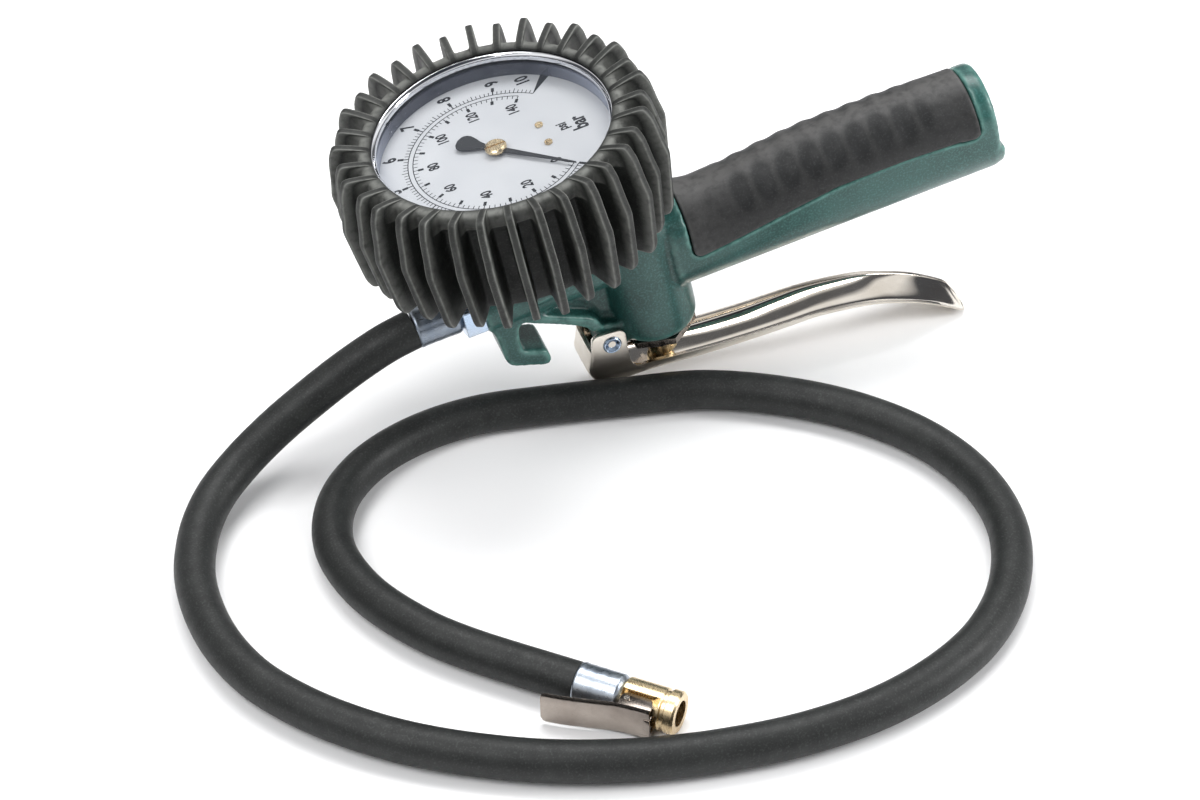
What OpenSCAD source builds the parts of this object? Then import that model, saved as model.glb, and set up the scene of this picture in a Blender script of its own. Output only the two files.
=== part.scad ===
// Hand-held tyre inflator with a dial gauge, an air hose and a clip-on chuck.
// Tool frame: X runs from the hose end to the handle end on the axis of the air
// passage, Z is the gauge axis and Y is across. The tool stands on its lever tip.

/* [Stance] */
// Angle at which the handle rises from the floor
pitch = 10.5; // [8:0.5:13]

/* [Handle] */
// Distance from the gauge axis to the end face of the handle
handle_end = 158.8; // [150:0.1:175]
// Width of the handle
handle_w = 29.5; // [28:0.1:32]
// Height of the handle above the air passage
handle_up = 18; // [17.5:0.1:20]
// Depth of the handle below the air passage
handle_down = 19; // [18:0.1:21]
// How far the lower rail stands out past the end face
rail_out = 1.5; // [0.5:0.1:3]
// Wall of the soft grip over the casting
grip_t = 3; // [2:0.1:4]
// Front edge of the grip, from the gauge axis
grip_front = 51; // [50.5:0.5:56]
// Width of the casting's collar behind the grip
collar_w = 6.5; // [4:0.1:10]
// Crown of the grip above the casting's top line
grip_crown = 1.2; // [0.4:0.1:2]
// Depth of the hollow where the thumb lies
grip_dip = 4.2; // [0:0.1:6]
// Depth of the finger hollows
finger_depth = 0.9; // [0:0.1:1.4]
// Distance between the finger hollows
finger_pitch = 8.2; // [6:0.1:12]

/* [Valve barrel] */
// Distance from the gauge axis to the valve axis
valve_x = 36.5; // [36:0.1:39]
// Outer radius of the valve barrel
barrel_r = 14; // [13:0.1:14.2]
// Bottom of the barrel below the air passage
barrel_low = 33.5; // [33:0.1:36]
// Outer radius of the air passage towards the hose
passage_r = 9.8; // [9.5:0.1:11]
// Radius of the drilled air ways
way_r = 3; // [2:0.1:3.2]
// Radius of the brass gland's thread
gland_r = 7.4; // [7:0.1:8]
// Width across flats of the gland's hexagon
gland_af = 19; // [17:0.5:21]
// Height of the gland's hexagon
gland_hex = 2.2; // [1.6:0.1:3]
// Radius of the push button under the valve
button_r = 5.2; // [4.6:0.1:5.5]
// Radius of the valve stem
stem_r = 2; // [1.5:0.1:2.2]

/* [Lever] */
// Lever pin, from the gauge axis
pin_x = 18.6; // [18:0.1:19.5]
// Lever pin below the air passage
pin_low = 29.8; // [29:0.1:30.5]
// Radius of the hollow rivet the lever turns on
pin_r = 2; // [1.6:0.1:2.4]
// Radius of the rivet's heads
rivet_r = 3.2; // [2.9:0.1:3.6]
// Sheet the lever is pressed from
sheet = 1.5; // [1.2:0.1:1.6]
// Outer half width of the lever
lever_half = 8.5; // [8.2:0.1:9.5]
// Side play between the lug and the lever's ears
ear_play = 0.2; // [0.1:0.05:0.4]
// Half width of the hook and of the lever lug
hook_half = 8; // [6:0.1:9]

/* [Gauge] */
// Inner radius of the gauge case
case_r = 38.6; // [38.2:0.1:40]
// Wall of the gauge case
case_wall = 0.9; // [0.6:0.1:1]
// Height of the dial above the air passage
dial_z = 56; // [55:0.5:60]
// Height of the case's floor above the air passage
case_floor = 30; // [29:0.5:32]
// Free height between the dial and the glass
glass_gap = 4.6; // [4:0.1:6]
// Thickness of the glass
glass_t = 1.8; // [1:0.1:2.5]
// Height of the chromed ring over the glass
bezel_h = 2.6; // [2:0.1:4]
// Tip radius of the pointer
pointer_len = 28.3; // [24:0.1:31]
// Teeth on the pointer's pinion
pinion_teeth = 12; // [10:1:14]
// Teeth a full wheel of the sector would have
sector_teeth = 72; // [66:1:76]
// Gear module of the movement
gear_m = 0.35; // [0.34:0.01:0.37]

/* [Rubber boot] */
// Number of fins round the boot
fins = 34; // [24:2:40]
// Thickness of a fin
fin_t = 2.6; // [1.6:0.1:3.2]
// Outer radius of the long fins
fin_r = 53; // [50:0.5:56]
// How much shorter every second fin is
fin_step = 1.2; // [0:0.1:2]
// Rubber wall round the case
boot_wall = 2.1; // [1.6:0.1:2.6]

/* [Hose] */
// Outer diameter of the hose
hose_d = 13; // [11:0.1:13.4]
// Radius of the crimped ferrules
ferrule_r = 6.8; // [6.7:0.1:8]
// Length of a ferrule
ferrule_len = 15; // [12:0.5:18]
// Width across flats of the hose nut
nut_af = 17; // [14:0.5:19]

/* [Chuck] */
// Outer radius of the chuck
chuck_r = 6.6; // [6.2:0.1:7]
// Length of the chuck in front of its ferrule
chuck_len = 18; // [17:0.5:20]
// Radius of the mouth that takes the tyre valve
mouth_r = 4.1; // [3.9:0.05:4.5]
// Depth of the mouth
mouth_depth = 10; // [8:0.5:10.5]
// Sheet of the clip
clip_t = 0.9; // [0.7:0.1:1.2]

/* [Inlet] */
// Wall radius of the air inlet's thread
inlet_r = 5.72; // [5:0.01:6.2]
// Depth of the inlet thread
inlet_depth = 12; // [10:0.5:14]

/* [Hidden] */
$fn = 64;

// Named clearances
run = 0.05; // shaft in its hole, on the radius
slip = 0.1; // parts that slide past each other
seat = 0.02; // faces that seat on each other

// Colours
green = [0.10, 0.33, 0.30];
black = [0.13, 0.13, 0.14];
brass = [0.80, 0.65, 0.32];
nickel = [0.82, 0.77, 0.70];
zinc = [0.72, 0.76, 0.80];

// Handle
handle_half = handle_w / 2;
grip_back = handle_end - collar_w;
core_half = handle_half - grip_t;
edge_round = 1.2;
grip_seam = 0.3; // dark line round the grip
grip_low = -2.5; // grip's lower edge at its ends
grip_tilt = 4.7; // rise of that edge from the front to the back
grip_bow = 5; // and of its middle over both ends
grip_corner = 3;
grip_lip = 1.5; // rise of the grip's top at its front end
shoulder_x = grip_front - 6; // where the handle has its full section
shoulder = 1.2; // length of the step at its front edge
neck_in = 2.5; // how far the neck lies inside the handle's outline
neck_up = 14.5;

// Inlet
bush_r = inlet_r + 2.8;
bush_x = handle_end - inlet_depth - 2;
filter_t = 1.5;

// Valve
gland_top = 3; // valve seat
gland_turn = -80; // direction of one corner of its hexagon
chamber_r = 5;
chamber_top = 13;
barrel_round = 5; // rounding of its lower edge, inwards
barrel_rise = 4; // and upwards
barrel_top = 16;
gland_low = barrel_low + gland_hex;
button_low = 47.1; // round end of the button, on the lever
button_dome = 8; // radius of its round end
button_travel = 2.6;
counterbore = 6;
gallery_r = stem_r + 1.8;
seal_z = -18;
poppet_t = 2.4;
spring_wire = 0.7;
spring_turns = 4;

// Lever: centreline of the outside [x, z, flange height, squareness, half width]
lever_path = [[11, -30.8, 2.8, 7, 0], [9.8, -34.8, 3.2, 7, 0], [8.7, -39.2, 4, 7, 0],
    [11.6, -44.6, 4.4, 7, 0], [20, -46.9, 4.4, 8, 0], [30.7, -48.1, 4.5, 8, 0],
    [49, -51.3, 4.9, 7, 0], [65.3, -53, 4.8, 5, 0], [78, -53.3, 4.2, 3.6, 0.1],
    [90, -53.9, 3.6, 3, 0.2], [106, -57, 3.1, 2.6, 0.4], [116, -60.4, 2.4, 2.4, 0.5],
    [126, -65.3, 1.9, 2.2, 0.6], [134, -71, 1.7, 2.2, 0.6], [137.6, -74, 1.7, 2.2, 0.2],
    [138.7, -75, 1.65, 2.2, -2], [139.2, -75.5, 1.6, 2.2, -5]];
lever_steps = 3;
lever_sides = 12;
knuckle_r = 5.4;
lug_half = lever_half - sheet - ear_play;

// Stance: the tip of the lever stands on the floor
lever_end = lever_path[len(lever_path) - 1];
stand_z = -(sin(pitch) * lever_end[0] + cos(pitch) * lever_end[1]);
tool_x_high = cos(pitch) * (handle_end + rail_out) + sin(pitch) * (handle_down - edge_round / 2);
fin_turn = 180 / fins; // the fins nearest to -X stand off it by half a step
tool_x_low = -cos(pitch) * (fin_r * cos(fin_turn) + fin_t / 2 * sin(fin_turn)) - sin(pitch) * (dial_z - 5);
stand_x = -(tool_x_high + tool_x_low) / 2;

// Gauge heights
case_out = case_r + case_wall;
boss_r = 11;
boss_top = 20;
port_r = 6.5;
port_low = 9;
plate_t = 1.2;
dial_t = 0.6;
glass_z = dial_z + glass_gap;
bezel_z = glass_z + glass_t;
case_top = bezel_z + bezel_h - 0.2;
bezel_in = case_r - 1.5;
top_plate_z = dial_z - dial_t - plate_t;
base_plate_z = top_plate_z - 8.2;
arbor_r = 1;
gear_dist = gear_m * (pinion_teeth + sector_teeth) / 2;
gear_z = base_plate_z + 3.2;
gear_t = 1.2;
pinion_t = 3;
tail_len = 5.3;
tail_angle = -92.5;
sector_swing = 270 * pinion_teeth / sector_teeth;
link_angle = tail_angle + sector_swing / 2 + 90;
link_slot = 2 * tail_len * sin(sector_swing / 2);
link_pin_r = 0.7;
tube_r = 29;
tube_half = 2.2;
link_room = 2.46; // from the link's far pin to the inside of the tube
tube_h = 12;
tube_z = base_plate_z - 2;
link_len = (tube_r - tube_half - link_room - tail_pin()[0]) / cos(link_angle);
pillar_r = 1.5;
pillar_x = tube_r - tube_half - pillar_r - 2.7;
pillar_y = 7.5;
plate_margin = 0.5;
plate_back = arbor_r + run + 11;
screw_x = 15.75;
screw_y = 4.8;
zero_angle = -45; // direction of the pointer at rest, from +X
hairspring_z = top_plate_z - 2.2;

// Boot
boot_in = case_out + slip;
boot_out = boot_in + boot_wall;
boot_low = case_floor - 2;
boot_top = case_top + 1.4;
lip_r = case_r - 0.5;

// Hose end fittings on the tool
nut_x = -19;
nut_t = 7;
ferrule_x = nut_x - nut_t;
hose_x = ferrule_x - ferrule_len;
spigot_r = 4.8;
spigot_len = 9;
tail_r = 3.2;

// Hose route on the floor, in the frame of the stance before it is centred
hose_r = hose_d / 2;
chuck_at = [-32, -137];
chuck_turn = -43;
chuck_z = ferrule_r;
hose_exit = [cos(pitch) * hose_x, 0, sin(pitch) * hose_x + stand_z];
hose_route = concat([hose_exit], [
    [-51, -0.5, 38], [-64, -1, 31.5], [-77, -2.5, 24.5], [-90, -5.5, 18], [-103, -11.5, 12.6],
    [-115, -21.5, 9.2], [-124, -36, 7.3], [-129.5, -55, 6.6], [-129.5, -78, 6.5], [-124, -99, 6.5],
    [-114, -116, 6.5], [-101, -131, 6.5], [-86, -144, 6.5], [-68, -155.5, 6.5],
    [-48, -165.3, 6.5], [-24, -173.2, 6.5], [0, -177.7, 6.5], [25, -179.4, 6.5], [50, -176.9, 6.5],
    [73, -169.5, 6.5], [92, -158, 6.5], [107, -141, 6.5], [116.5, -119, 6.5],
    [117.5, -95, 6.5], [110, -71.5, 6.5], [95, -51, 6.5], [75, -34.5, 6.5], [51, -22, 6.5],
    [26, -16.5, 6.5], [0, -11.5, 6.5], [-24, -8.5, 6.5], [-46, -11.5, 6.5], [-65, -20.5, 6.5],
    [-78.5, -35, 6.5], [-84.5, -54, 6.5], [-81.5, -75, 6.5], [-72, -94.5, 6.6],
    [-58.5, -111.5, 6.6]],
    [[chuck_at[0], chuck_at[1], chuck_z]]);
hose_sides = 10;

// Chuck, along its own X from the start of the ferrule
body_x = ferrule_len;
mouth_x = ferrule_len + chuck_len;
seal_t = 3;
seal_x = mouth_x - mouth_depth - seal_t;
seal_r = mouth_r + 0.3; // pocket that holds the seal
clip_pin_x = ferrule_len + 2.9;
clip_pin_y = -5;
clip_pin_r = 0.9;
clip_half = 6;
flat_z = 4.2; // milled flats the clip straddles
cheek_x = ferrule_len + 0.5;

// ---- helpers ----

// Points of an arc about [cx, cy] from angle a to angle b
function arc(cx, cy, r, a, b, n = 6) =
    [for (i = [0:n]) [cx + r * cos(a + (b - a) * i / n), cy + r * sin(a + (b - a) * i / n)]];

// Point on a smooth curve through a list, at t points from its start
function on_curve(p, t) =
    let (n = len(p) - 1)
    let (i = min(n - 1, max(0, floor(t))))
    let (f = t - i)
    let (a = p[max(0, i - 1)])
    let (b = p[i])
    let (c = p[i + 1])
    let (d = p[min(n, i + 2)])
    b + f * (c - a) / 2 + f * f * (2 * a - 5 * b + 4 * c - d) / 2
      + f * f * f * (3 * b - a - 3 * c + d) / 2;

function unit(v) = v / norm(v);

// Skins rings of equal length into one closed solid, with each end capped in a strip
module skin_rings(rings) {
    n = len(rings[0]);
    last = (len(rings) - 1) * n;
    points = [for (ring = rings) for (p = ring) p];
    sides = [for (j = [0:n:last - n]) for (i = [0:n - 1]) let (k = (i + 1) % n)
        for (face = [[j + i, j + n + k, j + k], [j + i, j + n + i, j + n + k]]) face];
    caps = [for (i = [0:n / 2 - 2]) let (a = i) let (b = i + 1) let (c = n - 2 - i) let (d = n - 1 - i)
        for (face = [[a, b, c], [a, c, d], [last + c, last + b, last + a],
            [last + d, last + c, last + a]]) face];
    polyhedron(points, concat(sides, caps), convexity = 8);
}

// Places tool parts as the tool stands
module on_tool() {
    translate([stand_x, 0, stand_z]) rotate([0, -pitch, 0]) children();
}

// Places chuck parts where the chuck lies
module on_chuck() {
    translate([stand_x + chuck_at[0], chuck_at[1], chuck_z]) rotate([0, 0, chuck_turn]) children();
}

// Turns a profile drawn in X and Z into a plate of width w across Y
module across(w, y = 0) {
    translate([0, y, 0]) rotate([90, 0, 0]) linear_extrude(w, center = true) children();
}

// Turns a profile drawn in Y and Z into a bar along X
module along(x0, x1) {
    translate([x0, 0, 0]) rotate([90, 0, 90]) linear_extrude(x1 - x0) children();
}

// Round bar along X
module rod(x0, x1, r, z = 0, y = 0) {
    translate([x0, y, z]) rotate([0, 90, 0]) cylinder(h = x1 - x0, r = r);
}

// Oval section with round top and bottom
module oval(half, up, down) {
    translate([0, up - half]) circle(half);
    translate([0, half - down]) circle(half);
    translate([-half, half - down]) square([2 * half, up + down - 2 * half]);
}

// ---- casting ----

function grip_edge(x) =
    let (t = max(0, (x - grip_front) / (grip_back - grip_front)))
    grip_low + grip_tilt * t + grip_bow * sin(180 * min(1, pow(t, 1.4)));

// Side outline of the grip, grown by a seam
module grip_outline(seam) {
    x0 = grip_front - seam;
    x1 = grip_back + seam;
    xa = x0 + grip_corner;
    xb = x1 - grip_corner;
    steps = 8;
    edge = [for (i = [0:steps]) let (x = xa + (xb - xa) * i / steps) [x, grip_edge(x) - seam]];
    left = arc(xa, grip_edge(xa) - seam + grip_corner, grip_corner, 180, 262, 5);
    right = arc(xb, grip_edge(xb) - seam + grip_corner, grip_corner, 278, 360, 5);
    polygon(concat([[x1, 30], [x0, 30]], left, edge, right));
}

module handle_casting() {
    difference() {
        union() {
            along(shoulder_x, handle_end - edge_round) oval(handle_half, handle_up, handle_down);
            along(handle_end - edge_round - 0.01, handle_end)
                oval(handle_half - edge_round / 2, handle_up - edge_round / 2,
                    handle_down - edge_round / 2);
            intersection() {
                along(grip_back, handle_end + rail_out)
                    oval(handle_half - edge_round / 2, handle_up, handle_down - edge_round / 2);
                across(2 * handle_w)
                    polygon([[grip_back, -30], [handle_end + rail_out, -30],
                        [handle_end + rail_out, -6], [grip_back, -1]]);
            }
        }
        difference() {
            across(2 * handle_w) grip_outline(grip_seam);
            along(grip_front - 5, grip_back + 5)
                oval(core_half, handle_up - grip_dip, handle_down - grip_t);
        }
    }
}

module barrel() {
    corner = [for (p = arc(0, 1, 1, -90, 0, 8))
        [barrel_r - barrel_round + barrel_round * p[0], barrel_rise * p[1] - barrel_low]];
    profile = concat([[0, -barrel_low]], corner,
        [[barrel_r, barrel_top - 3], [barrel_r - 3, barrel_top], [0, barrel_top]]);
    translate([valve_x, 0, 0]) rotate_extrude() polygon(profile);
}

module neck() {
    along(valve_x, shoulder_x + 1) oval(handle_half - neck_in, neck_up, handle_down - neck_in);
    along(shoulder_x - shoulder, shoulder_x + 0.1)
        oval(handle_half - edge_round / 2, handle_up - edge_round / 2, handle_down - edge_round / 2);
}

// Lug that carries the lever: a sloping plate with a rib, down to the knuckle
module lug() {
    across(2 * hook_half)
        polygon([[-9, -2.4], [-7.1, -4.2], [-1, -7.9], [13.4, -15.8], [15.2, -17.2], [16.3, -18.8],
            [17.6, -22.4], [13.4, -22.9], [12.6, -20.5], [9.8, -18.1], [3.6, -14.3], [-4.4, -10],
            [-8, -7.8]]);
    // rib along the plate, and the web up to the air passage
    across(5.4)
        polygon([[-6, -2], [-2, -4.6], [4.3, -8.2], [13.6, -13.4], [15.6, -14.8], [16.8, -17],
            [17.9, -19.8], [20, -21.4], [24.8, -22], [24.8, -30], [15, -24], [10, -17], [-4, -9]]);
    across(3.6)
        polygon([[2, -5], [26, -5], [26, -24], [18.5, -21.5], [16, -17], [12, -14], [2, -8]]);
    across(2 * lug_half) {
        translate([pin_x, -pin_low]) circle(knuckle_r - 0.9);
        polygon([[14.9, -22.2], [17.3, -22], [23, -24], [27, -22], [27, -33],
            [22.4, -33], [20.6, -33.8], [15.6, -32.2], [14.9, -28]]);
    }
}

// Hook that hangs the tool up
module hook() {
    toe = arc(-11.9, -20.4, 4.5, 188, 245, 5);
    tip = arc(-3.6, -26.6, 2, 245, 375, 5);
    inner = arc(-8.5, -18.6, 1.5, 245, 180, 4);
    across(2 * hook_half)
        polygon(concat([[-18.6, -1], [-17.9, -6], [-17, -13]], toe, tip,
            [[-2.3, -22.9]], inner, [[-10.1, -15.5], [-9.6, -10.5], [-8, -7.6], [-6, -1]]));
}

module gauge_boss() {
    cylinder(h = boss_top, r = boss_r);
    translate([0, -5, 0]) cube([valve_x, 10, barrel_top]);
}

module air_ways() {
    // hose thread and outlet
    rod(nut_x - 1, nut_x + spigot_len + 1, spigot_r + seat);
    rod(nut_x, valve_x, way_r);
    // gauge port
    translate([0, 0, port_low - 1]) cylinder(h = 20, r = port_r + seat);
    cylinder(h = port_low, r = 1.5);
    // valve chamber
    translate([valve_x, 0, 0]) {
        translate([0, 0, -gland_low - 5]) cylinder(h = gland_low + 5 - 22, r = gland_r + seat);
        translate([0, 0, -23]) cylinder(h = 23 + gland_top, r = gland_r - 1.2 + seat);
        cylinder(h = chamber_top, r = chamber_r);
    }
    // supply from the inlet, drilled at a slant into the top of the chamber
    supply = [bush_x - filter_t, 0, 0];
    foot = [valve_x, 0, chamber_top - way_r - 1];
    slope = atan2(foot[2] - supply[2], supply[0] - foot[0]);
    translate(foot) rotate([0, 90 + slope, 0]) cylinder(h = norm(supply - foot), r = way_r);
    // inlet bush and filter
    rod(bush_x, handle_end + 5, bush_r + seat);
    rod(bush_x - filter_t, bush_x + 1, bush_r - 2.5);
}

module housing() {
    color(green) on_tool() difference() {
        union() {
            handle_casting();
            neck();
            barrel();
            rod(nut_x, valve_x, passage_r);
            gauge_boss();
            lug();
            hook();
        }
        air_ways();
        translate([pin_x, 30, -pin_low]) rotate([90, 0, 0]) cylinder(h = 60, r = pin_r + run);
    }
}

// ---- grip ----

function ramp(t) = 0.5 - 0.5 * cos(180 * min(1, max(0, t)));
function grip_top(x) =
    let (t = (x - grip_front) / (grip_back - grip_front))
    handle_up + grip_crown - grip_dip * (1 - ramp((t - 0.04) / 0.5))
      + grip_lip * (1 - ramp(t / 0.09)) - grip_crown * ramp((t - 0.7) / 0.3);

// Hollows for the fingers on both sides, as a depth at x and height z
function finger_hollow(x, z) =
    let (t = (x - grip_front) / (grip_back - grip_front))
    let (band = max(0, 1 - pow((z - 13) / 7, 2)))
    let (along_grip = ramp((t - 0.17) / 0.08) * ramp((0.9 - t) / 0.08))
    finger_depth * band * along_grip * (0.5 - 0.5 * cos(360 * (x - grip_front) / finger_pitch));

function grip_ring(x) =
    let (top = grip_top(x))
    [for (i = [0:23]) let (a = 360 * i / 24 - 90)
        let (y = handle_half * cos(a) + 0.35 * sign(cos(a)))
        let (z = a > 0 && a < 180 ? top - handle_half + handle_half * sin(a)
            : handle_half - handle_down + handle_half * sin(a))
        [x, y - sign(y) * finger_hollow(x, z), z]];

module grip_insert() {
    stations = 72;
    x0 = grip_front - 1;
    x1 = grip_back + 1;
    rings = [for (i = [0:stations]) grip_ring(x0 + (x1 - x0) * i / stations)];
    color(black) on_tool() intersection() {
        difference() {
            skin_rings(rings);
            along(x0 - 5, x1 + 5)
                oval(core_half + seat, handle_up - grip_dip + seat, handle_down - grip_t + seat);
        }
        across(2 * handle_w) grip_outline(0);
    }
}

// ---- inlet ----

module inlet_bush() {
    color(brass) on_tool() difference() {
        rod(bush_x, handle_end, bush_r);
        rod(handle_end - inlet_depth, handle_end + 1, inlet_r);
        rod(bush_x - 1, handle_end, way_r + 0.5);
    }
}

module inlet_filter() {
    color(zinc) on_tool() rod(bush_x - filter_t + seat, bush_x - seat, bush_r - 2.5 - seat);
}

// ---- rubber boot ----

module boot_shell() {
    band_low = boot_top - 8;
    rotate_extrude($fn = 96) polygon([[lip_r, boot_top], [boot_out + 0.4, boot_top - 2.8],
        [boot_out + 1, boot_top - 3.6], [boot_out + 1, band_low], [boot_out, band_low - 1],
        [boot_out, boot_low + 2], [boot_out - 2, boot_low], [port_r + 6, boot_low],
        [port_r + 6, case_floor - seat], [boot_in, case_floor - seat], [boot_in, case_top + 0.1],
        [lip_r, case_top + 0.3]]);
}

// Side outline of one fin, from the rim over its crest to the floor of the boot
module fin_outline(shrink) {
    r = fin_r - shrink;
    top = boot_top + 1.8 - shrink * 0.6;
    low = boot_low - 1.6 + shrink * 0.6;
    crest = arc(r - 6.2, top - 2.6, 2.6, 85, 25, 3);
    heel = arc(r - 5, low + 2.6, 2.6, -15, -80, 3);
    polygon(concat([[lip_r + 1.4, boot_top - 1.5], [lip_r + 1.4, boot_top - 0.2]], crest,
        [[r, dial_z - 5]], heel, [[boot_out, low + 0.8], [boot_out - 1, boot_low + 1],
        [boot_out - 1, boot_top - 4]]));
}

module gauge_boot() {
    color(black) on_tool() {
        boot_shell();
        for (i = [0:fins - 1]) {
            rotate([0, 0, -90 + 360 * i / fins]) across(fin_t) fin_outline(i % 2 == 0 ? 0 : fin_step);
        }
    }
}

// ---- gauge ----

module gauge_case() {
    color([0.25, 0.25, 0.27]) on_tool() difference() {
        translate([0, 0, case_floor]) cylinder(h = case_top - case_floor, r = case_out, $fn = 96);
        translate([0, 0, case_floor + 1.2]) cylinder(h = 60, r = case_r, $fn = 96);
        translate([0, 0, case_floor - 1]) cylinder(h = 4, r = port_r + seat);
    }
}

module gauge_socket() {
    color(brass) on_tool() difference() {
        union() {
            translate([0, 0, port_low]) cylinder(h = case_floor + 3 - port_low, r = port_r);
            translate([0, 0, boss_top]) cylinder(h = boot_low - 0.5 - boss_top, r = 9, $fn = 6);
            translate([0, 0, boot_low - 1]) cylinder(h = case_floor - boot_low + 1 - seat, r = port_r + 3);
            translate([-8, -7, case_floor + 1.2]) cube([16, 14, base_plate_z - case_floor - 1.2]);
            rotate([0, 0, 100]) translate([0, -4, tube_z - tube_h / 2 - 3])
                cube([tube_r - 3, 8, 4]);
            rotate([0, 0, 100]) translate([tube_r - 5, -4, tube_z - tube_h / 2 - 3])
                cube([8, 8, 3 - seat]);
        }
        translate([0, 0, port_low - 1]) cylinder(h = 26, r = 1.5);
    }
}

module bourdon_tube() {
    color(brass) on_tool() {
        translate([0, 0, tube_z]) rotate([0, 0, 100]) rotate_extrude(angle = 250, $fn = 72)
            difference() {
                translate([tube_r - tube_half, -tube_h / 2]) square([2 * tube_half, tube_h]);
                translate([tube_r - tube_half + 0.5, 0.5 - tube_h / 2])
                    square([2 * tube_half - 1, tube_h - 1]);
            }
        // closed end with the lug that pulls the link
        rotate([0, 0, -10]) translate([tube_r - tube_half - 0.2, -0.5, tube_z - tube_h / 2 - 0.2])
            cube([2 * tube_half + 0.4, 3.9, tube_h + 0.4]);
        lug_z = gear_z + 0.2;
        end = tail_pin() + link_len * [cos(link_angle), sin(link_angle)];
        translate([end[0] - 1.6, end[1] - 1.6, lug_z]) cube([4.9, 3.2, 0.9]);
        translate([end[0], end[1], lug_z]) cylinder(h = 3, r = link_pin_r);
    }
}

// Place of the sector's tail pin with the pointer at zero
function tail_pin() = [gear_dist + tail_len * cos(tail_angle), tail_len * sin(tail_angle)];

module plate_outline() {
    difference() {
        half = pillar_y + pillar_r + plate_margin;
        translate([-plate_back, -half])
            square([plate_back + pillar_x + pillar_r + plate_margin, 2 * half]);
        circle(arbor_r + run);
        translate([gear_dist, 0]) circle(arbor_r + run);
    }
}

module movement_plates() {
    color(brass) on_tool() {
        translate([0, 0, base_plate_z]) linear_extrude(plate_t) difference() {
            plate_outline();
        }
        translate([0, 0, top_plate_z]) linear_extrude(plate_t) difference() {
            plate_outline();
            for (y = [-screw_y, screw_y]) translate([screw_x, y]) circle(0.8);
        }
    }
}

module movement_pillars() {
    color(brass) on_tool()
        for (x = [pillar_r + plate_margin - plate_back, pillar_x])
            for (y = [-pillar_y, pillar_y])
                translate([x, y, base_plate_z + plate_t + seat])
                    cylinder(h = top_plate_z - base_plate_z - plate_t - 2 * seat, r = pillar_r);
}

// Outline of one tooth that stands on +X, for a wheel of n teeth
function tooth(n, a) =
    let (rp = gear_m * n / 2)
    let (step = 360 / n)
    [for (q = [[-0.32, -1.1], [-0.20, 0], [-0.09, 0.8], [0.09, 0.8], [0.20, 0], [0.32, -1.1]])
        let (r = rp + q[1] * gear_m)
        [r * cos(a + q[0] * step), r * sin(a + q[0] * step)]];

module sector_gear() {
    step = 360 / sector_teeth;
    lead = 2;
    count = ceil(sector_swing / step) + 2 * lead;
    rim = [for (i = [0:count]) for (p = tooth(sector_teeth, 180 + (lead - count + i) * step)) p];
    hub_z = gear_z - 1.2;
    color(brass) on_tool() translate([gear_dist, 0, 0]) {
        translate([0, 0, gear_z]) linear_extrude(gear_t) union() {
            polygon(concat([[0, 0]], rim));
            circle(2.2);
            rotate(tail_angle) translate([0, -1]) square([tail_len, 2]);
            rotate(tail_angle) translate([tail_len, 0]) circle(1.3);
        }
        translate([0, 0, hub_z]) cylinder(h = gear_t + 2.4, r = 1.7);
        translate([0, 0, base_plate_z + seat])
            cylinder(h = top_plate_z + plate_t - base_plate_z - 2 * seat, r = arbor_r);
        rotate([0, 0, tail_angle]) translate([tail_len, 0, gear_z])
            cylinder(h = gear_t + 1.4, r = link_pin_r);
    }
}

module pinion_arbor() {
    teeth = [for (i = [0:pinion_teeth - 1])
        for (p = tooth(pinion_teeth, (i + 0.5) * 360 / pinion_teeth)) p];
    color(zinc) on_tool() {
        translate([0, 0, gear_z - 0.9]) linear_extrude(pinion_t) polygon(teeth);
        translate([0, 0, base_plate_z + seat])
            cylinder(h = dial_z + 2 - base_plate_z, r = arbor_r);
    }
}

module tip_link() {
    p = tail_pin();
    color(nickel) on_tool() translate([p[0], p[1], gear_z + gear_t + slip])
        rotate([0, 0, link_angle]) linear_extrude(0.6) difference() {
            hull() {
                circle(1.4, $fn = 24);
                translate([link_len, 0]) circle(1.9, $fn = 24);
            }
            circle(link_pin_r + run);
            translate([link_len - link_slot - 0.2, 0]) circle(link_pin_r + 0.45);
            translate([link_len, 0]) circle(link_pin_r + 0.45);
            translate([link_len - link_slot - 0.2, -link_pin_r - 0.45])
                square([link_slot + 0.2, 2 * link_pin_r + 0.9]);
        }
}

module hairspring() {
    turns = 4;
    steps = 20 * turns;
    r0 = 2.1;
    pitch_r = 0.85;
    half = 0.15;
    side = function (s) [for (i = [0:steps]) let (a = 360 * turns * i / steps)
        let (r = r0 + pitch_r * a / 360 + s * half) [r * cos(a), r * sin(a)]];
    inner = side(-1);
    outer = side(1);
    color(nickel) on_tool() translate([0, 0, hairspring_z]) linear_extrude(1) {
        difference() {
            circle(r0 + half, $fn = 24);
            circle(arbor_r + run + 0.05);
        }
        polygon(concat(outer, [for (i = [steps:-1:0]) inner[i]]));
        translate([r0 + pitch_r * turns - half, -0.4]) square([0.7, 0.8]);
    }
}

module dial() {
    color("white") on_tool() translate([0, 0, dial_z - dial_t]) linear_extrude(dial_t) difference() {
        circle(case_r - slip, $fn = 96);
        circle(arbor_r + 1);
        for (y = [-screw_y, screw_y]) translate([screw_x, y]) circle(0.9);
    }
}

module dial_screws() {
    color(brass) on_tool() for (y = [-screw_y, screw_y]) translate([screw_x, y, 0]) difference() {
        union() {
            translate([0, 0, dial_z + seat]) cylinder(h = 0.6, r = 1.3);
            translate([0, 0, top_plate_z + 0.2]) cylinder(h = dial_z - top_plate_z, r = 0.75);
        }
        translate([-2, -0.15, dial_z + 0.35]) cube([4, 0.3, 1]);
    }
}

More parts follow.
